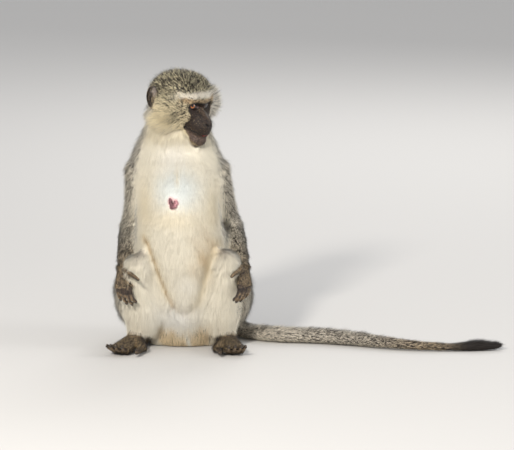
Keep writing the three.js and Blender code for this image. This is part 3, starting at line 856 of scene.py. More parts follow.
# the front of the body: a bluish bib round the teats, tan creases between belly and thighs, a brown vent
front = torso * smooth_step(-skin_normals[:, 1], 0.0, 0.5)
lay(CHEEK, 0.0, is_part("neck") * (1 - facing_back) * (1 - outer) * smooth_step(z, 296, 326) * 0.55)
# painted highlight: a whiter patch of hair high on the chest
lay_patches(front, [(WHITE, 0.9, (-14, 290), (22, 22))])
bib = np.exp(-((((x + 8) / 33) ** 2 + ((z - 244) / 31) ** 2) ** 1.6))
lay(BLUE_WHITE, 0.0, front * bib)
lay_patches(front, [
    (WARM_CREAM, 0.4, (-14, 200), (42, 12)),
    (WARM_CREAM, 0.5, (-54, 222), (11, 40)),
    (WARM_CREAM, 0.5, (42, 215), (11, 40)),
    (WARM_CREAM, 0.5, (-8, 262), (3, 16)),
])
groin_right = near_line(place[:, [0, 2]], GROIN_RIGHT)
groin_left = near_line(place[:, [0, 2]], GROIN_LEFT)
lap = facing_front * (torso + legs)
# painted shade: the narrow brown line laid in the fold on her right
for colour, strength, crease, wide in (
    (WARM_CREAM, 0.55, groin_right, 7), (TAN, 0.95, groin_right, 2), (CREASE_SHADE, 0.8, groin_right, 1),
    (WARM_CREAM, 0.5, groin_left, 8),
):
    lay(colour, 0.0, lap * ridge(crease, wide) * strength)
cloud = mound((x - 30 + 4 * np.sin(z / 9)) / 17, (z - 148) / 36)
lay(TAN, 0.0, lap * cloud * (0.48 + 0.14 * np.sin(x / 4.5 + z / 7)))
lay_patches(lap, [(WHITE, 0.6, (6, 104), (16, 16)), (SNOW, 0.9, (-10, 52), (34, 24))])
from_vent = np.abs(x - 2)
seat = lap * smooth_step(-z + 0.35 * from_vent + 4 * np.sin(x / 3.1), -34, -12)
lay(BROWN, 0.2, seat * smooth_step(-from_vent, -46, -32) * 0.85)
sliver = x - (6 - 0.25 * (z - 20))
lay(BLUE_WHITE, 0.0, front * mound(sliver / 2.6, (z - 14) / 14) * 0.95)

# the head: black and pale crown, white brow band, pale cheeks, tan beard, dark face
lay(OLIVE, 1.28, head_parts)
below_crown = 1 - smooth_step(height, -4, 16)
lay(CHEEK, 0.42, head_parts * below_crown * smooth_step(ahead, -23, -10))
lay(CHEEK, 0.08, head_parts * smooth_step(-height, -2, 14) * smooth_step(ahead, -14, 2))
band_middle = 19.2 - 0.13 * np.maximum(aside - 12, 0) - 0.09 * np.maximum(on_head[:, 1], 0)
band_half = 4.0 + 0.05 * aside
band = np.exp(-(np.abs((height - band_middle) / band_half) ** 3.4)) * smooth_step(ahead, 15, 28)
lay(BROW, 0.06, head_parts * band)
lower_ruff = head_parts * smooth_step(-height, 24, 42) * (1 - smooth_step(ahead, 22, 30))
lay(CREAM, 0.0, lower_ruff * smooth_step(ahead, -14, 2) * 0.6)
temple = smooth_step(ahead, 22, 31) * smooth_step(height, -38, -14) * (1 - smooth_step(height, 8, 13))
lay(CHEEK, 0.85, head_parts * temple * 0.85)
far_cheek = smooth_step(on_head[:, 1], 18, 28) * smooth_step(ahead, 2, 16) * (1 - smooth_step(height, 10, 16))
lay(FAR_GREY, 0.35, head_parts * far_cheek * smooth_step(height, -44, -30) * 0.9)
beard = smooth_step(-height, 40, 50) * smooth_step(ahead, 22, 32)
lay(HAND_BROWN, 0.8, head_parts * beard * 0.75)
brow_shadow = smooth_step(height, 6, 9) * (1 - smooth_step(height, 13.5, 15)) * smooth_step(ahead, 27, 33)
face = bare_face(on_head) * head_parts
lay(HAND_BROWN, 0.6, head_parts * brow_shadow)
lay(HAND_BROWN, 1.0, face)
lay(HAND_BROWN, 0.8, is_part("ear"))
teat_front = [teat_ends(number) for number in range(len(TEATS))]
teats = np.min([near_line(place, np.array(ends)) for ends in teat_front], 0) - TEAT_RADIUS
above_teats = lengths((place - bib_centre / MM - (0, 0, 2)) * (0.75, 0.3, 0.6))[:, 0]

coat_colour = relaxed(coat_colour, skin_edges, 1)
ticking = relaxed(ticking, skin_edges, 3)[:, 0]

# ------------------------------------------------------------------ the lie of the coat
# Hair grows away from the nose over the head, down the neck and trunk, and along each limb and the tail.
# Its depth is the room left between the skin and the outline that the frame gives.

TAIL_LINE = np.array((
    (0, 78, 22), (32, 84, 13), (66, 70, 12), (102, 34, 12), (140, 12, 12), (196, 4, 12), (250, -15, 11),
    (306, -43, 10), (362, -58, 8), (410, -57, 6.5), (462, -50, 7.5),
), float)
TAIL_WAYS = TAIL_LINE[1:] - TAIL_LINE[:-1]


def tail_stretch(points):
    """Which stretch of the tail each point is nearest to."""
    return np.argmin(lengths(points[:, None, :] - TAIL_LINE[None, :-1, :])[:, :, 0], 1)


def limb_direction(limbs, start, end):
    """Along a bone, for each point: her left limb's or her right's."""
    ways = [np.array(limbs[side][end], float) - np.array(limbs[side][start], float) for side in BOTH]
    return np.where(her_left[:, None], ways[0], ways[1])


def tangential(vectors, normals):
    return unit(vectors - (vectors * normals).sum(1, keepdims=True) * normals)


flow = np.tile((0.0, 0.0, -1.0), (len(place), 1))
DIRECTIONS = {
    "upper_arm": unit(limb_direction(ARMS, "shoulder", "elbow")) + (0, 0, -0.5),
    "forearm": limb_direction(ARMS, "elbow", "wrist"),
    "hand": limb_direction(ARMS, "wrist", "knuckles"),
    "thigh": unit(limb_direction(LEGS, "hip", "knee")) * 0.5 + (0, -0.1, -0.8),
    "shank": limb_direction(LEGS, "knee", "ankle"),
    "foot": limb_direction(LEGS, "ankle", "ball"),
}
for part, ways in DIRECTIONS.items():
    flow = np.where(is_part(part)[:, None] > 0, unit(ways), flow)
flow = np.where(tail[:, None] > 0, unit(TAIL_WAYS[tail_stretch(place)]), flow)
NOSE = np.array((62, 0, -14.0))
sag = 16 * smooth_step(-height, -6, 20) * smooth_step(ahead, -30, 10)
from_nose = on_head - NOSE + np.stack((0 * aside, 0.35 * on_head[:, 1], -sag), 1)
flow = np.where((head_parts + is_part("ear"))[:, None] > 0, unit(from_nose @ (head_out[:3, :3].T / MM)), flow)
flow = tangential(relaxed(tangential(flow, skin_normals), skin_edges, 60), skin_normals)

room = np.array([outline_tree.find_nearest(p)[3] for p in skin_points.tolist()]) / MM
room = relaxed(room, skin_edges, 30)[:, 0]
room = room * (1 - is_part("ear", "eye"))
GROWTH = {  # hairs to a square millimetre, half width, degrees off the skin, least and greatest length in mm
    "eye": (0, 0.30, 30, 3, 3),
    "head": (2.1, 0.54, 32, 6, 16),
    "lower_jaw": (1.8, 0.30, 30, 3.5, 10),
    "ear": (0.9, 0.20, 30, 2, 3),
    "neck": (1.9, 0.46, 21, 9, 22),
    "trunk": (1.66, 0.47, 17, 9, 25),
    "upper_arm": (1.75, 0.50, 28, 8, 13),
    "forearm": (1.95, 0.48, 27, 5, 9),
    "hand": (2.2, 0.28, 15, 3, 4.5),
    "thigh": (1.38, 0.50, 19, 8, 22),
    "shank": (1.38, 0.48, 18, 8, 18),
    "foot": (1.9, 0.36, 20, 3.6, 8),
    "tail_root": (1.4, 0.56, 25, 6, 16),
    "tail_middle": (1.5, 0.54, 25, 6, 14),
    "tail_end": (1.7, 0.48, 23, 5, 10),
    "tail_tuft": (1.7, 0.50, 24, 8, 18),
}
growth = np.stack([per_node(skin_labels, node_names, {p: v[k] for p, v in GROWTH.items()})
                   for k in range(5)], 1)
density, half_width, lift, least_length, greatest_length = relaxed(growth, skin_edges, 10).T
grizzled = torso + legs
half_width = half_width + 0.10 * grizzled * smooth_step(ticking, 0.2, 0.7)
half_width = half_width - 0.14 * head_parts * (1 - smooth_step(height, 4, 18))
on_crown = head_parts * smooth_step(height, 2, 20)
lift = np.radians(lift + 9 * grizzled * facing_back + 26 * on_crown)
ear_reach = folded(on_head) - (-9, 47, 2)
near_ear = np.exp(-((ear_reach / (13, 14, 20)) ** 2).sum(1)) * head_parts
at_face = ridge(bare_face(on_head, 1, 9) - 0.5, 0.45) * head_parts
density = density * (1 - 0.82 * face * smooth_step(bare_face(on_head, 6, 0), 0.05, 0.6))
density = density * smooth_step(teats, 1, 3) * smooth_step(z, 1.5, 4)
density = density * (1 - 0.45 * torso * facing_back)
past_knuckles = np.zeros(len(place))
for side, sign in SIDES:
    for limbs, end, digits in ((ARMS, "knuckles", "hand"), (LEGS, "ball", "foot")):
        start = limbs[side]["wrist" if digits == "hand" else "ankle"]
        span = np.array(limbs[side][end], float) - np.array(start, float)
        reached = ((place - np.array(start)) @ span) / (span @ span)
        mine = is_part(digits) * (her_left == (sign > 0))
        past_knuckles = np.maximum(past_knuckles, mine * smooth_step(reached, 0.85, 1.25))
density = density * (1 - 0.65 * past_knuckles)
tuft_length = np.clip(room / np.sin(0.85 * lift), least_length, greatest_length)
stray_share = 0.05 + 0.15 * on_crown + 0.08 * arms
ruff_edge = head_parts * mound((height + 36) / 14, np.maximum(ahead - 22, 0) / 10)
tuft_length = tuft_length + 6 * ruff_edge
tuft_length = tuft_length + 5 * head_parts * far_cheek * smooth_step(height, -44, -30)
chin_fringe = mound((height + 58) / 6, (ahead - 44) / 12) * head_parts
tuft_length = tuft_length + 4 * chin_fringe
tuft_length = tuft_length * (1 - 0.72 * near_ear) * (1 - 0.25 * at_face) * (1 - 0.5 * front * bib)
tuft_length = tuft_length * (1 - 0.75 * face) * (1 - 0.45 * past_knuckles)
groin = np.minimum(groin_right, groin_left + 2)
tuft_length = tuft_length * (1 - 0.55 * lap * ridge(groin, 3))
tuft_length = tuft_length * (1 - 0.72 * front * ridge(above_teats, 10))

# ------------------------------------------------------------------ coat
# Fine hair in thin tapering slivers that overlap and lie along the body, shortest on face, hands and feet.
# Every hair carries its colour, its ticking and its place on the bake map.

HAIR_FACES = (0, 3, 1, 1, 3, 2, 2, 3, 0, 0, 1, 2)  # a three-sided sliver closed at its root
HAIR_ALONG = (0, 0, 0, 1.0)  # how far along the hair each of its four points is
HAIR_PATCH = np.array(((0, 0), (1, 0), (0.5, 0.2), (0.5, 1)))  # and where it is in its patch of the bake map
PATCH = 0.003  # the width of a hair's patch on the bake map, as a share of the map
LOCK = 1.15  # how far apart hairs are banded alike, in millimetres
FLOOR_CLEARANCE = 0.3 * MM
SOFT_SHADING = 0.85  # how far a hair's shading follows the body's own roundness
SWAY, WANDER = 0.05, 0.13  # how far neighbours turn together, and how far each turns by itself, in radians
HAIR_ROOT = 0.5 * MM  # how deep each hair starts under the skin
MIDDLE_SEEN = 0.45  # where along a hair its middle is, as a share of its length
ON_FLOOR = 0.9  # how much of what would reach below the floor is laid out along it
ANGLES = (0.85, 0.25, 0.25, 1.7)  # mean, deviation, least and greatest, as shares of the angle at the root
LENGTHS = (0.97, 0.13, 0.6, 1.3)  # the same for the length
WIDTHS = (0.7, 1.3)
STRAY_LONGER, STRAY_THINNER = (1.2, 1.5), 0.7
CREST = 0.6  # how far a hair stands up in its middle, as a share of its half width

skin.data.calc_loop_triangles()
skin_triangles = read(skin.data.loop_triangles, "vertices")
corners = skin_points[skin_triangles]
triangle_areas = lengths(np.cross(corners[:, 1] - corners[:, 0], corners[:, 2] - corners[:, 0]))[:, 0] / 2
triangle_areas = triangle_areas / MM**2
skin_tree = BVHTree.FromPolygons(skin_points.tolist(), skin_triangles.tolist())


def turn_and_height(points, start, end):
    """An unwrap round a bone: the angle round it and the share of the way along it."""
    start, end = np.array(start, float), np.array(end, float)
    bone = end - start
    along = ((points - start) @ bone) / (bone @ bone)
    axis = bone / np.linalg.norm(bone)
    first = np.cross(axis, (0, 1, 0) if abs(axis[1]) < 0.8 else (1, 0, 0))
    first = first / np.linalg.norm(first)
    second = np.cross(axis, first)
    offset = points - start
    return np.arctan2(offset @ second, offset @ first) / (2 * pi) + 0.5, along


def unwrap_limb(limbs, side, upper, joint, lower):
    def unwrap(points):
        first_turn, first_along = turn_and_height(points, limbs[side][upper], limbs[side][joint])
        second_turn, second_along = turn_and_height(points, limbs[side][joint], limbs[side][lower])
        over = first_along > 1
        along = np.where(over, 0.5 + 0.5 * second_along, 0.5 * first_along)
        return np.where(over, second_turn, first_turn), along

    return unwrap


def unwrap_head(points):
    local = to_head(points * MM) - HEART
    flat = np.hypot(local[:, 0], local[:, 1])
    return np.arctan2(local[:, 1], -local[:, 0]) / (2 * pi) + 0.5, np.arctan2(local[:, 2], flat) / pi + 0.5


def unwrap_tail(points):
    step = tail_stretch(points)
    offset = points - TAIL_LINE[step]
    way = unit(TAIL_WAYS[step])
    outwards = np.cross(way, (0, 0, 1.0))
    share = (step + np.clip((offset * way).sum(1) / 50, -0.4, 1)) / (len(TAIL_LINE) - 1)
    return np.arctan2(offset[:, 2], (offset * outwards).sum(1)) / (2 * pi) + 0.5, share


def unwrap_trunk(points):
    return turn_and_height(points, (-9, 10, 0), (-9, 10, 400))


def keep_on(mesh, label, values):
    """Keeps a value or a colour for every vertex of a mesh, for its material to read."""
    values = np.asarray(values)
    if values.ndim > 1:
        kept = mesh.attributes.new(label, "FLOAT_COLOR", "POINT")
        values = np.column_stack((values, np.ones(len(values))))
        kept.data.foreach_set("color", values.astype(np.float32).ravel())
    else:
        mesh.attributes.new(label, "FLOAT", "POINT").data.foreach_set("value", values.astype(np.float32))


def grow_coat(name, members, unwrap, seed):
    """Grows one region's hair on the skin triangles that are its members. A few hairs stray: they are longer
    and thinner."""
    chance = np.random.default_rng(seed)
    found = np.flatnonzero(members)
    weights = triangle_areas[found] * density[skin_triangles[found]].mean(1)
    total = weights.sum()
    count = int(total)
    draws = (np.arange(count) + chance.random(count)) / count * total
    triangle = skin_triangles[found[np.minimum(np.searchsorted(np.cumsum(weights), draws), len(found) - 1)]]
    shares = chance.dirichlet((1, 1, 1), count)

    def at_root(values):
        return (values[triangle] * shares.reshape(shares.shape + (1,) * (values.ndim - 1))).sum(1)

    def varied(mean, deviation, least, greatest):
        return np.clip(chance.normal(mean, deviation, count), least, greatest)

    roots, normals = at_root(skin_points), unit(at_root(skin_normals))
    way = tangential(at_root(flow), normals)
    across = np.cross(way, normals)
    waves = np.sin(roots @ (310, 170, 240)) + np.sin(roots @ (-150, 420, 260) + 1.7)
    swing = SWAY * waves + chance.normal(0, WANDER, count)
    way = way * np.cos(swing)[:, None] + across * np.sin(swing)[:, None]
    across = np.cross(way, normals)
    angle = at_root(lift) * varied(*ANGLES)
    size = at_root(tuft_length) * MM * varied(*LENGTHS)
    stray = chance.random(count) < at_root(stray_share)
    size = size * np.where(stray, chance.uniform(*STRAY_LONGER, count), 1)
    width = at_root(half_width) * MM * chance.uniform(*WIDTHS, count) * np.where(stray, STRAY_THINNER, 1)
    along = way * np.cos(angle)[:, None] + normals * np.sin(angle)[:, None]
    base = roots - normals * HAIR_ROOT
    crest = np.cross(across, along)
    spread = across * width[:, None]
    tip = base + along * size[:, None]
    below_floor = np.maximum(FLOOR_CLEARANCE - tip[:, 2], 0)
    tip = tip + normals * (ON_FLOOR, ON_FLOOR, 0) * below_floor[:, None]
    points = np.stack((base - spread, base + spread, base + crest * (CREST * width)[:, None], tip), 1)
    points[:, :, 2] = np.maximum(points[:, :, 2], FLOOR_CLEARANCE)
    own = np.stack((-across, across, crest, crest), 1)
    shading = unit((1 - SOFT_SHADING) * own + SOFT_SHADING * normals[:, None, :])
    per_hair = points.shape[1]

    mesh = bpy.data.meshes.new(name)
    mesh.vertices.add(count * per_hair)
    mesh.vertices.foreach_set("co", points.astype(np.float32).ravel())
    loops = (np.arange(count)[:, None] * per_hair + np.array(HAIR_FACES)).ravel()
    mesh.loops.add(len(loops))
    mesh.loops.foreach_set("vertex_index", loops.astype(np.int32))
    faces = len(loops) // 3
    mesh.polygons.add(faces)
    mesh.polygons.foreach_set("loop_start", np.arange(0, len(loops), 3, dtype=np.int32))
    mesh.polygons.foreach_set("use_smooth", np.ones(faces, bool))
    mesh.update(calc_edges=True)
    mesh.normals_split_custom_set_from_vertices(shading.reshape(-1, 3).astype(np.float32))

    turn, upwards = unwrap(roots / MM)
    upwards = 0.03 + 0.94 * (upwards - upwards.min()) / max(np.ptp(upwards), 1e-6)
    centre = np.stack((0.02 + 0.96 * turn, upwards), 1)
    patch = (centre[:, None, :] + PATCH * (HAIR_PATCH - 0.5)).reshape(-1, 2)[loops]
    mesh.uv_layers.new(name="OFBake").data.foreach_set("uv", patch.astype(np.float32).ravel())

    # a hair takes its markings from the skin that its middle lies over, and its bands from its neighbours
    middles = roots + way * (MIDDLE_SEEN * size)[:, None]
    over = [skin_tree.find_nearest(point)[2] for point in middles.tolist()]
    over = skin_triangles[over, 0]
    cell = np.floor((middles / MM + chance.normal(0, 0.3, (count, 3))) / LOCK)
    alike = np.sin(cell @ (12.9898, 78.233, 37.719)) * 43758.5453 + chance.normal(0, 0.06, count)
    keep_on(mesh, "coat_along", np.tile(HAIR_ALONG, count))
    keep_on(mesh, "coat_chance", np.repeat(alike - np.floor(alike), per_hair))
    keep_on(mesh, "coat_ticking", np.repeat(ticking[over], per_hair))
    keep_on(mesh, "coat_colour", np.repeat(coat_colour[over], per_hair, 0))
    mesh.materials.append(coat_material)
    piece = shown(name, mesh)
    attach(piece, "root")


def node_of(tree, kind, **settings):
    made = tree.nodes.new(kind)
    for key, value in settings.items():
        setattr(made, key, value)
    return made


def new_material(name):
    material = bpy.data.materials.new(name)
    material.use_nodes = True
    return material, material.node_tree, material.node_tree.nodes["Principled BSDF"]


def math_node(tree, operation, first, second, third=None):
    """One sum: each operand is a socket or a number."""
    made = node_of(tree, "ShaderNodeMath", operation=operation)
    for slot, operand in enumerate((first, second, third)):
        if isinstance(operand, bpy.types.NodeSocket):
            tree.links.new(operand, made.inputs[slot])
        elif operand is not None:
            made.inputs[slot].default_value = operand
    return made.outputs[0]


def set_inputs(node, values):
    for label, value in values.items():
        node.inputs[label].default_value = value


def eased(tree, value, low, high, start=0.0, end=1.0):
    """A value taken from start to end as it goes from low to high."""
    made = node_of(tree, "ShaderNodeMapRange", interpolation_type="SMOOTHSTEP")
    set_inputs(made, {"From Min": low, "From Max": high, "To Min": start, "To Max": end})
    tree.links.new(value, made.inputs["Value"])
    return made.outputs[0]


def overlaid(tree, colour, code, amount):
    """A colour with a paint laid over it by an amount."""
    made = node_of(tree, "ShaderNodeMix", data_type="RGBA")
    made.inputs["B"].default_value = (*paint(code), 1)
    tree.links.new(amount, made.inputs["Factor"])
    tree.links.new(colour, made.inputs["A"])
    return made.outputs["Result"]


def scaled(tree, colour, amount):
    made = node_of(tree, "ShaderNodeVectorMath", operation="SCALE")
    tree.links.new(colour, made.inputs[0])
    tree.links.new(amount, made.inputs["Scale"])
    return made.outputs[0]


def attribute(tree, label, output="Fac"):
    return node_of(tree, "ShaderNodeAttribute", attribute_name=label).outputs[output]


DARK_HAIRS = 0.56  # the share of wholly dark hairs where the coat is fully ticked
BAND_SHIFT = 0.22  # how far the pale bands of neighbouring hairs lie apart, as a share of their length


def ticked_hair_group():
    """A hair's colour: wholly dark, or dark with one pale band, as far as it is ticked, and a shaded root."""
    group = bpy.data.node_groups.new("Ticked hair", "ShaderNodeTree")
    sockets = {"Colour": "NodeSocketColor", "Along": "NodeSocketFloat", "Chance": "NodeSocketFloat",
               "Ticking": "NodeSocketFloat"}
    for label, kind in sockets.items():
        group.interface.new_socket(label, in_out="INPUT", socket_type=kind)
    group.interface.new_socket("Colour", in_out="OUTPUT", socket_type="NodeSocketColor")
    given, out = node_of(group, "NodeGroupInput"), node_of(group, "NodeGroupOutput")
    along, chance, ticked = given.outputs["Along"], given.outputs["Chance"], given.outputs["Ticking"]
    second = math_node(group, "FRACT", math_node(group, "MULTIPLY", chance, 17.3), 0)
    # the hairs that aren't wholly dark have one pale band, below their tip or at it
    picked = eased(group, math_node(group, "MULTIPLY_ADD", ticked, DARK_HAIRS, chance), 1.0, 1.03)
    third = math_node(group, "FRACT", math_node(group, "MULTIPLY", chance, 31.7), 0)
    shifted = math_node(group, "MULTIPLY_ADD", third, BAND_SHIFT, along)
    lower = eased(group, shifted, 0.42, 0.6, 0.95, 0.0)
    upper = eased(group, shifted, 0.96, 1.04)
    ends = math_node(group, "ADD", lower, upper)
    dark = math_node(group, "MAXIMUM", picked, math_node(group, "MULTIPLY", ticked, ends))
    banded = overlaid(group, given.outputs["Colour"], "#2B2521", dark)
    root = eased(group, along, 0.0, 0.4, 0.12, 0.0)
    tone = math_node(group, "SUBTRACT", eased(group, second, 0, 1, 0.91, 1.05), root)
    group.links.new(scaled(group, banded, tone), out.inputs["Colour"])
    return group


ticked_hair = ticked_hair_group()
coat_material, tree, shader = new_material("coat")
hair_colour = node_of(tree, "ShaderNodeGroup", node_tree=ticked_hair)
for key, socket in (("coat_colour", "Colour"), ("coat_along", "Along"), ("coat_chance", "Chance"),
                    ("coat_ticking", "Ticking")):
    output = "Color" if socket == "Colour" else "Fac"
    tree.links.new(attribute(tree, key, output), hair_colour.inputs[socket])
tree.links.new(hair_colour.outputs["Colour"], shader.inputs["Base Color"])
set_inputs(shader, {"Roughness": 0.6, "Specular IOR Level": 0.25})
set_inputs(shader, {"Sheen Weight": 0.12, "Sheen Roughness": 0.45})

triangle_part = part_names[skin_triangles[:, 0]]
triangle_left = her_left[skin_triangles[:, 0]]
middles = corners.mean(1)
faces_front = skin_normals[skin_triangles[:, 0], 1] < 0.1
above_brow = to_head(middles)[:, 2] > 4


def on(*parts):
    return np.isin(triangle_part, parts)


level = middles[:, 2] / MM
high = level > 185
REGIONS = [
    ("coat_crown", on("head", "ear") & above_brow, unwrap_head, "coat_olive"),
    ("coat_cheeks", on("head", "lower_jaw", "ear") & ~(on("head", "ear") & above_brow), unwrap_head,
     "coat_cream"),
    ("coat_neck", on("neck"), unwrap_trunk, "coat_cream"),
    ("coat_chest", on("trunk") & faces_front & (level > 205), unwrap_trunk, "coat_cream"),
    ("coat_belly", on("trunk") & faces_front & (level > 110) & (level <= 205), unwrap_trunk, "coat_cream"),
    ("coat_lap", on("trunk") & faces_front & (level <= 110), unwrap_trunk, "coat_cream"),
    ("coat_shoulders", on("trunk") & ~faces_front & high, unwrap_trunk, "coat_grizzled"),
    ("coat_rump", on("trunk") & ~faces_front & ~high, unwrap_trunk, "coat_grizzled"),
    ("coat_tail", on(*TAIL_PARTS), unwrap_tail, "coat_grizzled"),
]
for side, sign in SIDES:
    this = triangle_left == (sign > 0)
    for label, parts, limbs, joints, slot in (
        ("arm", ("upper_arm", "forearm"), ARMS, ("shoulder", "elbow", "wrist"), "coat_grizzled"),
        ("leg", ("thigh", "shank"), LEGS, ("hip", "knee", "ankle"), "coat_cream"),
        ("hand", ("hand",), ARMS, ("elbow", "wrist", "knuckles"), "coat_dark"),
        ("foot", ("foot",), LEGS, ("knee", "ankle", "ball"), "coat_dark"),
    ):
        REGIONS.append((f"coat_{label}_{side}", on(*parts) & this, unwrap_limb(limbs, side, *joints), slot))
for seed, (name, members, unwrap, slot) in enumerate(REGIONS):
    grow_coat(name, members, unwrap, seed)

# ------------------------------------------------------------------ bare skin
# Fine, dark, creased skin on the face, ears, palms and soles, pale bluish skin under the thin coat of the
# chest, and pinkish teats. Under the coat it has the coat's own markings.

on_chest = torso * (y < -42)
teat_skin = on_chest * (1 - smooth_step(teats, 0.4, 1.6))
bare = np.maximum(np.maximum(face, is_part("ear", "hand", "foot")), teat_skin * 0.7)
skin_colour = coat_colour * (0.92 - 0.75 * ticking)[:, None]


def tint(code, mask):
    """Lays a paint over the skin's colour, as strongly as the mask says."""
    global skin_colour
    skin_colour = skin_colour + np.clip(mask, 0, 1)[:, None] * (paint(code) - skin_colour)


lips = below_lips(on_head)
folds = face_folds(on_head)
mouth = smooth_step(ahead, 41.5, 46)
nose_top_highlight = ridge(aside, 7) * smooth_step(ahead, 44, 50) * smooth_step(height, -20, -6)
tint("#20160F", face)
# painted highlight: the top of the nose is lighter
tint("#41342A", face * nose_top_highlight * 0.6)
tint("#4B3D35", face * smooth_step(lips, 2, 5) * 0.6)
tint("#5A4B44", face * smooth_step(lips, 3, 9) * smooth_step(aside, 8, 13) * 0.5)
# painted shade: the skin is darkened in the face's folds and creases
tint("#120F0E", face * smooth_step(-folds, 0.15, 0.9) * 0.85)
# painted shade: the bare skin under the brow is darkened
tint("#120F0E", face * smooth_step(height, 4, 7) * 0.85)
inner_eye = lengths(folded(on_head) - on_eye(-LID_WIDE * 0.98, 0, EYE_RADIUS + 0.4))[:, 0]
tint("#8F7572", face * ridge(inner_eye, 1.8) * 0.7)
# painted shade: the slit between the lips is darkened
tint("#0C0A0A", face * ridge(lips, 0.9) * mouth * 0.9)
red_part = smooth_step(ahead, 57, 61) * (on_head[:, 1] > -6)
tint("#9A4A40", face * ridge(lips - 0.9, 0.7) * red_part * 0.5)
ear_top = mound((ahead + 11) / 6, (height - 13) / 7)
tint("#1E1814", is_part("ear"))
tint("#9A9088", is_part("ear") * ear_top * 0.5)
tint("#2C231C", is_part("hand", "foot"))
digit_top_highlight = np.zeros(len(place))
for side, sign in SIDES:
    for digits_of, part in ((hand_digits, "hand"), (foot_digits, "foot")):
        mine = np.flatnonzero(is_part(part) * (her_left == (sign > 0)))
        nearest = np.full(len(mine), 99.0)
        for path, bones, bend_axis, radius in digits_of(side, sign):
            back = np.array(bones[2].cross(bend_axis).normalized())
            distance = near_line(place[mine], np.array(path))
            top = smooth_step(skin_normals[mine] @ back, 0.45, 0.95) * (distance < radius + 2.5)
            digit_top_highlight[mine] = np.where(distance < nearest, top, digit_top_highlight[mine])
            nearest = np.minimum(nearest, distance)
# painted highlight: the back of each finger and toe is lighter
tint("#8A755A", digit_top_highlight * 0.55)
tint("#E3B7B6", on_chest * (1 - smooth_step(teats, 1.5, 5)))
tint("#6B474B", teat_skin)
tint("#C58F92", teat_skin * smooth_step(x, -13, -9) * 0.7)
keep_on(skin.data, "skin_colour", skin_colour)
keep_on(skin.data, "skin_bare", bare)


def pattern(tree, kind, inputs, **settings):
    """A pattern in the piece's own place, so that it stays on it from wherever it is seen."""
    place_on = tree.nodes.get("Texture Coordinate") or node_of(tree, "ShaderNodeTexCoord")
    made = node_of(tree, kind, **settings)
    set_inputs(made, inputs)
    tree.links.new(place_on.outputs["Object"], made.inputs["Vector"])
    return made.outputs


NOISE = "ShaderNodeTexNoise"
skin_material, tree, shader = new_material("skin")
bareness = attribute(tree, "skin_bare")
mottle = pattern(tree, NOISE, {"Scale": 360, "Detail": 6, "Roughness": 0.7, "Distortion": 0.6})["Fac"]
mottled = eased(tree, mottle, 0.34, 0.68, -0.62, 1.5)
strength = math_node(tree, "ADD", math_node(tree, "MULTIPLY", bareness, mottled), 1.0)
tree.links.new(scaled(tree, attribute(tree, "skin_colour", "Color"), strength), shader.inputs["Base Color"])
pores = pattern(tree, "ShaderNodeTexVoronoi", {"Scale": 850}, feature="DISTANCE_TO_EDGE")["Distance"]
wrinkles = pattern(tree, NOISE, {"Scale": 380, "Detail": 4, "Distortion": 0.8})["Fac"]
relief = math_node(tree, "MULTIPLY_ADD", wrinkles, 2.2, pores)
bump = node_of(tree, "ShaderNodeBump")
set_inputs(bump, {"Strength": 0.8, "Distance": 0.0006})
tree.links.new(relief, bump.inputs["Height"])
tree.links.new(bump.outputs["Normal"], shader.inputs["Normal"])
tree.links.new(eased(tree, bareness, 0, 1, 0.75, 0.46), shader.inputs["Roughness"])
set_inputs(shader, {"Specular IOR Level": 0.3})
skin.data.materials.clear()
skin.data.materials.append(skin_material)
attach(skin, "root")
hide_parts(*[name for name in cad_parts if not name.startswith("eye_")])

# ------------------------------------------------------------------ eyes
# Moist balls with a clear bulging window in front: a small pupil, an amber iris, a broad dark ring round
# it and a brownish white. The look goes a little past the camera.

GAZE = radians(17)  # from straight in front of her body, towards her left
GAZE_RISE = 0.07  # and a little upwards
EYE_ROUND = 64  # steps round the line of sight


def eye(side, sign):
    profile = bmesh.new()
    angles = np.concatenate((np.linspace(0, 0.8, 34), np.linspace(0.85, pi, 26)))
    line = []
    for angle in angles:
        radius = (EYE_RADIUS - 0.05 + 0.55 * np.exp(-((angle / 0.52) ** 4))) * MM
        line.append(profile.verts.new((radius * sin(angle), 0, radius * cos(angle))))
    edges = [profile.edges.new(pair) for pair in zip(line[:-1], line[1:])]
    bmesh.ops.spin(profile, geom=line + edges, cent=(0, 0, 0), axis=(0, 0, 1), dvec=(0, 0, 0), angle=2 * pi,
                   steps=EYE_ROUND, use_merge=True, use_duplicate=False)
    bmesh.ops.remove_doubles(profile, verts=profile.verts, dist=1e-6)
    bmesh.ops.recalc_face_normals(profile, faces=profile.faces)
    for face in profile.faces:
        face.smooth = True
    from_gaze = [vertex.co.angle(Vector((0, 0, 1))) for vertex in profile.verts]
    look = Vector((sin(GAZE), -cos(GAZE), GAZE_RISE)).to_track_quat("Z", "Y").to_matrix().to_4x4()
    middle = from_head((EYE_AT * (1, sign, 1))[None])[0]
    inner = from_head((on_eye(-LID_WIDE, 0, EYE_RADIUS) * (1, sign, 1))[None])[0]
    bmesh.ops.transform(profile, matrix=Matrix.Translation(Vector(middle)) @ look, verts=profile.verts)
    to_corner = [(vertex.co - Vector(inner)).length / MM for vertex in profile.verts]
    ball = placed(f"eyeball_{side}", profile)
    keep_on(ball.data, "from_gaze", from_gaze)
    keep_on(ball.data, "to_corner", to_corner)
    ball.data.materials.append(eye_material)
    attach(ball, "root")
    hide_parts(f"eye_{side}")


def ramp(tree, value, stops):
    """A value turned into a colour: each stop is a value from 0 to 1 and its paint."""
    made = node_of(tree, "ShaderNodeValToRGB")
    while len(made.color_ramp.elements) < len(stops):
        made.color_ramp.elements.new(0.5)
    for element, (position, code) in zip(made.color_ramp.elements, stops):
        element.position = position
        element.color = (*paint(code), 1)
    tree.links.new(value, made.inputs["Fac"])
    return made.outputs["Color"]


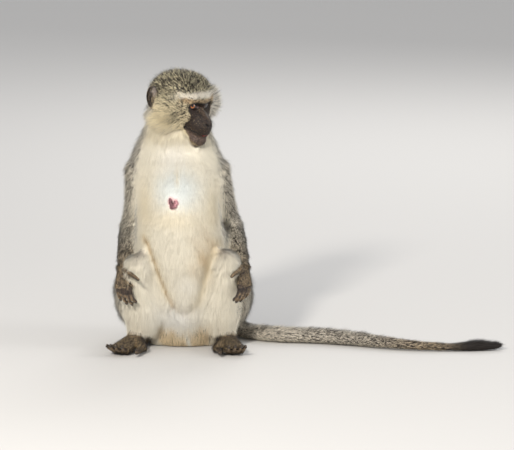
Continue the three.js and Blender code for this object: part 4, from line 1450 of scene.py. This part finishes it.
RINGS = (  # angle from the line of sight, as a share of one radian
    (0.0, "#020202"), (0.165, "#020202"), (0.185, "#5A2A0B"), (0.26, "#B06520"), (0.34, "#8A4A16"),
    (0.385, "#1A0D08"), (0.60, "#0E0908"), (0.66, "#2A1D19"), (1.0, "#30231F"),
)
eye_material, tree, shader = new_material("eye")
angle, corner = attribute(tree, "from_gaze"), attribute(tree, "to_corner")
fibres = pattern(tree, NOISE, {"Scale": 1900, "Detail": 3})["Fac"]
rings = ramp(tree, math_node(tree, "MULTIPLY_ADD", fibres, 0.02, angle), RINGS)
near_corner = eased(tree, corner, 2.0, 4.5, 0.85, 0.0)
pale = math_node(tree, "MULTIPLY", near_corner, eased(tree, angle, 0.6, 0.7))
tree.links.new(overlaid(tree, rings, "#A89294", pale), shader.inputs["Base Color"])
set_inputs(shader, {"Roughness": 0.25, "Coat Weight": 0.6, "Coat Roughness": 0.03})
for side, sign in SIDES:
    eye(side, sign)

# ------------------------------------------------------------------ nails
# A small dark arched plate of horn on the back of each digit's tip, set into the skin. The ten plates of
# the hands are one piece and the ten of the feet another.

NAIL_SIZE = (2.3, 1.9, 0.9)  # half the length, width and thickness of a finger's


def nails(name, digits_of):
    plates = bmesh.new()
    for side, sign in SIDES:
        for path, bones, bend_axis, radius in digits_of(side, sign):
            along, across = bones[2], bend_axis.normalized()
            up = -across.cross(along)
            size = radius / FINGER_RADIUS
            turn = Matrix((along, across, up)).transposed().to_4x4()
            scale = Matrix.Diagonal((*(value * size * MM for value in NAIL_SIZE), 1))
            at = Matrix.Translation((path[3] - along * 0.6 * size + up * radius * 0.62) * MM)
            bmesh.ops.create_uvsphere(plates, u_segments=14, v_segments=8, radius=1, matrix=at @ turn @ scale)
    for face in plates.faces:
        face.smooth = True
    piece = placed(name, plates)
    piece.data.materials.append(nail_material)
    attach(piece, "root")


nail_material, tree, shader = new_material("nail")
ridges = pattern(tree, NOISE, {"Scale": 1400})["Fac"]
tree.links.new(ramp(tree, ridges, ((0, "#14110F"), (1, "#4A4038"))), shader.inputs["Base Color"])
set_inputs(shader, {"Roughness": 0.32})
nails("nails_hands", hand_digits)
nails("nails_feet", foot_digits)

# ------------------------------------------------------------------ camera, floor and light
# Not part of the animal: a plain pale floor, a soft key from the upper left, a broad fill from the right,
# a weak light from behind, the pale walls of a room and a camera set far back.

CAMERA_DISTANCE = 8.0
CAMERA_RISE = radians(10)
VIEW_CENTRE = Vector((0.111, 0, 0.1813))
VIEW_WIDTH = 0.771
SENSOR = 36.0

camera_data = bpy.data.cameras.new("camera")
camera_data.sensor_width = SENSOR
camera_data.lens = SENSOR * CAMERA_DISTANCE / VIEW_WIDTH
camera_data.clip_end = 40
camera = shown("camera", camera_data)
camera.location = VIEW_CENTRE + CAMERA_DISTANCE * Vector((0, -cos(CAMERA_RISE), sin(CAMERA_RISE)))
camera.rotation_euler = (pi / 2 - CAMERA_RISE, 0, 0)
scene.camera = camera

floor_shape = bmesh.new()
bmesh.ops.create_grid(floor_shape, x_segments=1, y_segments=1, size=1)
bmesh.ops.scale(floor_shape, vec=(8, 8, 1), verts=floor_shape.verts)
floor = placed("floor", floor_shape)
floor_material, tree, shader = new_material("floor")
set_inputs(shader, {"Base Color": (0.62, 0.60, 0.57, 1), "Roughness": 0.9})
floor.data.materials.append(floor_material)


def soft_light(name, at, power, size, colour):
    light = bpy.data.lights.new(name, "AREA")
    light.energy = power
    light.size = size
    light.color = colour
    lamp = shown(name, light)
    lamp.location = at
    lamp.rotation_euler = (Vector((0.0, 0, 0.2)) - lamp.location).to_track_quat("-Z", "Y").to_euler()


soft_light("key", Vector((-0.9, -2.5, 1.7)), 79, 0.35, (1.0, 0.96, 0.90))
soft_light("fill", Vector((2.9, -0.7, 0.9)), 34, 1.1, (0.97, 0.98, 1.0))
soft_light("rim", Vector((0.6, 2.2, 1.6)), 20, 1.2, (1.0, 1.0, 1.0))
world = bpy.data.worlds.new("room")
world.use_nodes = True
set_inputs(world.node_tree.nodes["Background"], {"Color": (0.86, 0.88, 0.92, 1), "Strength": 0.72})
scene.world = world
scene.view_settings.view_transform = "Standard"
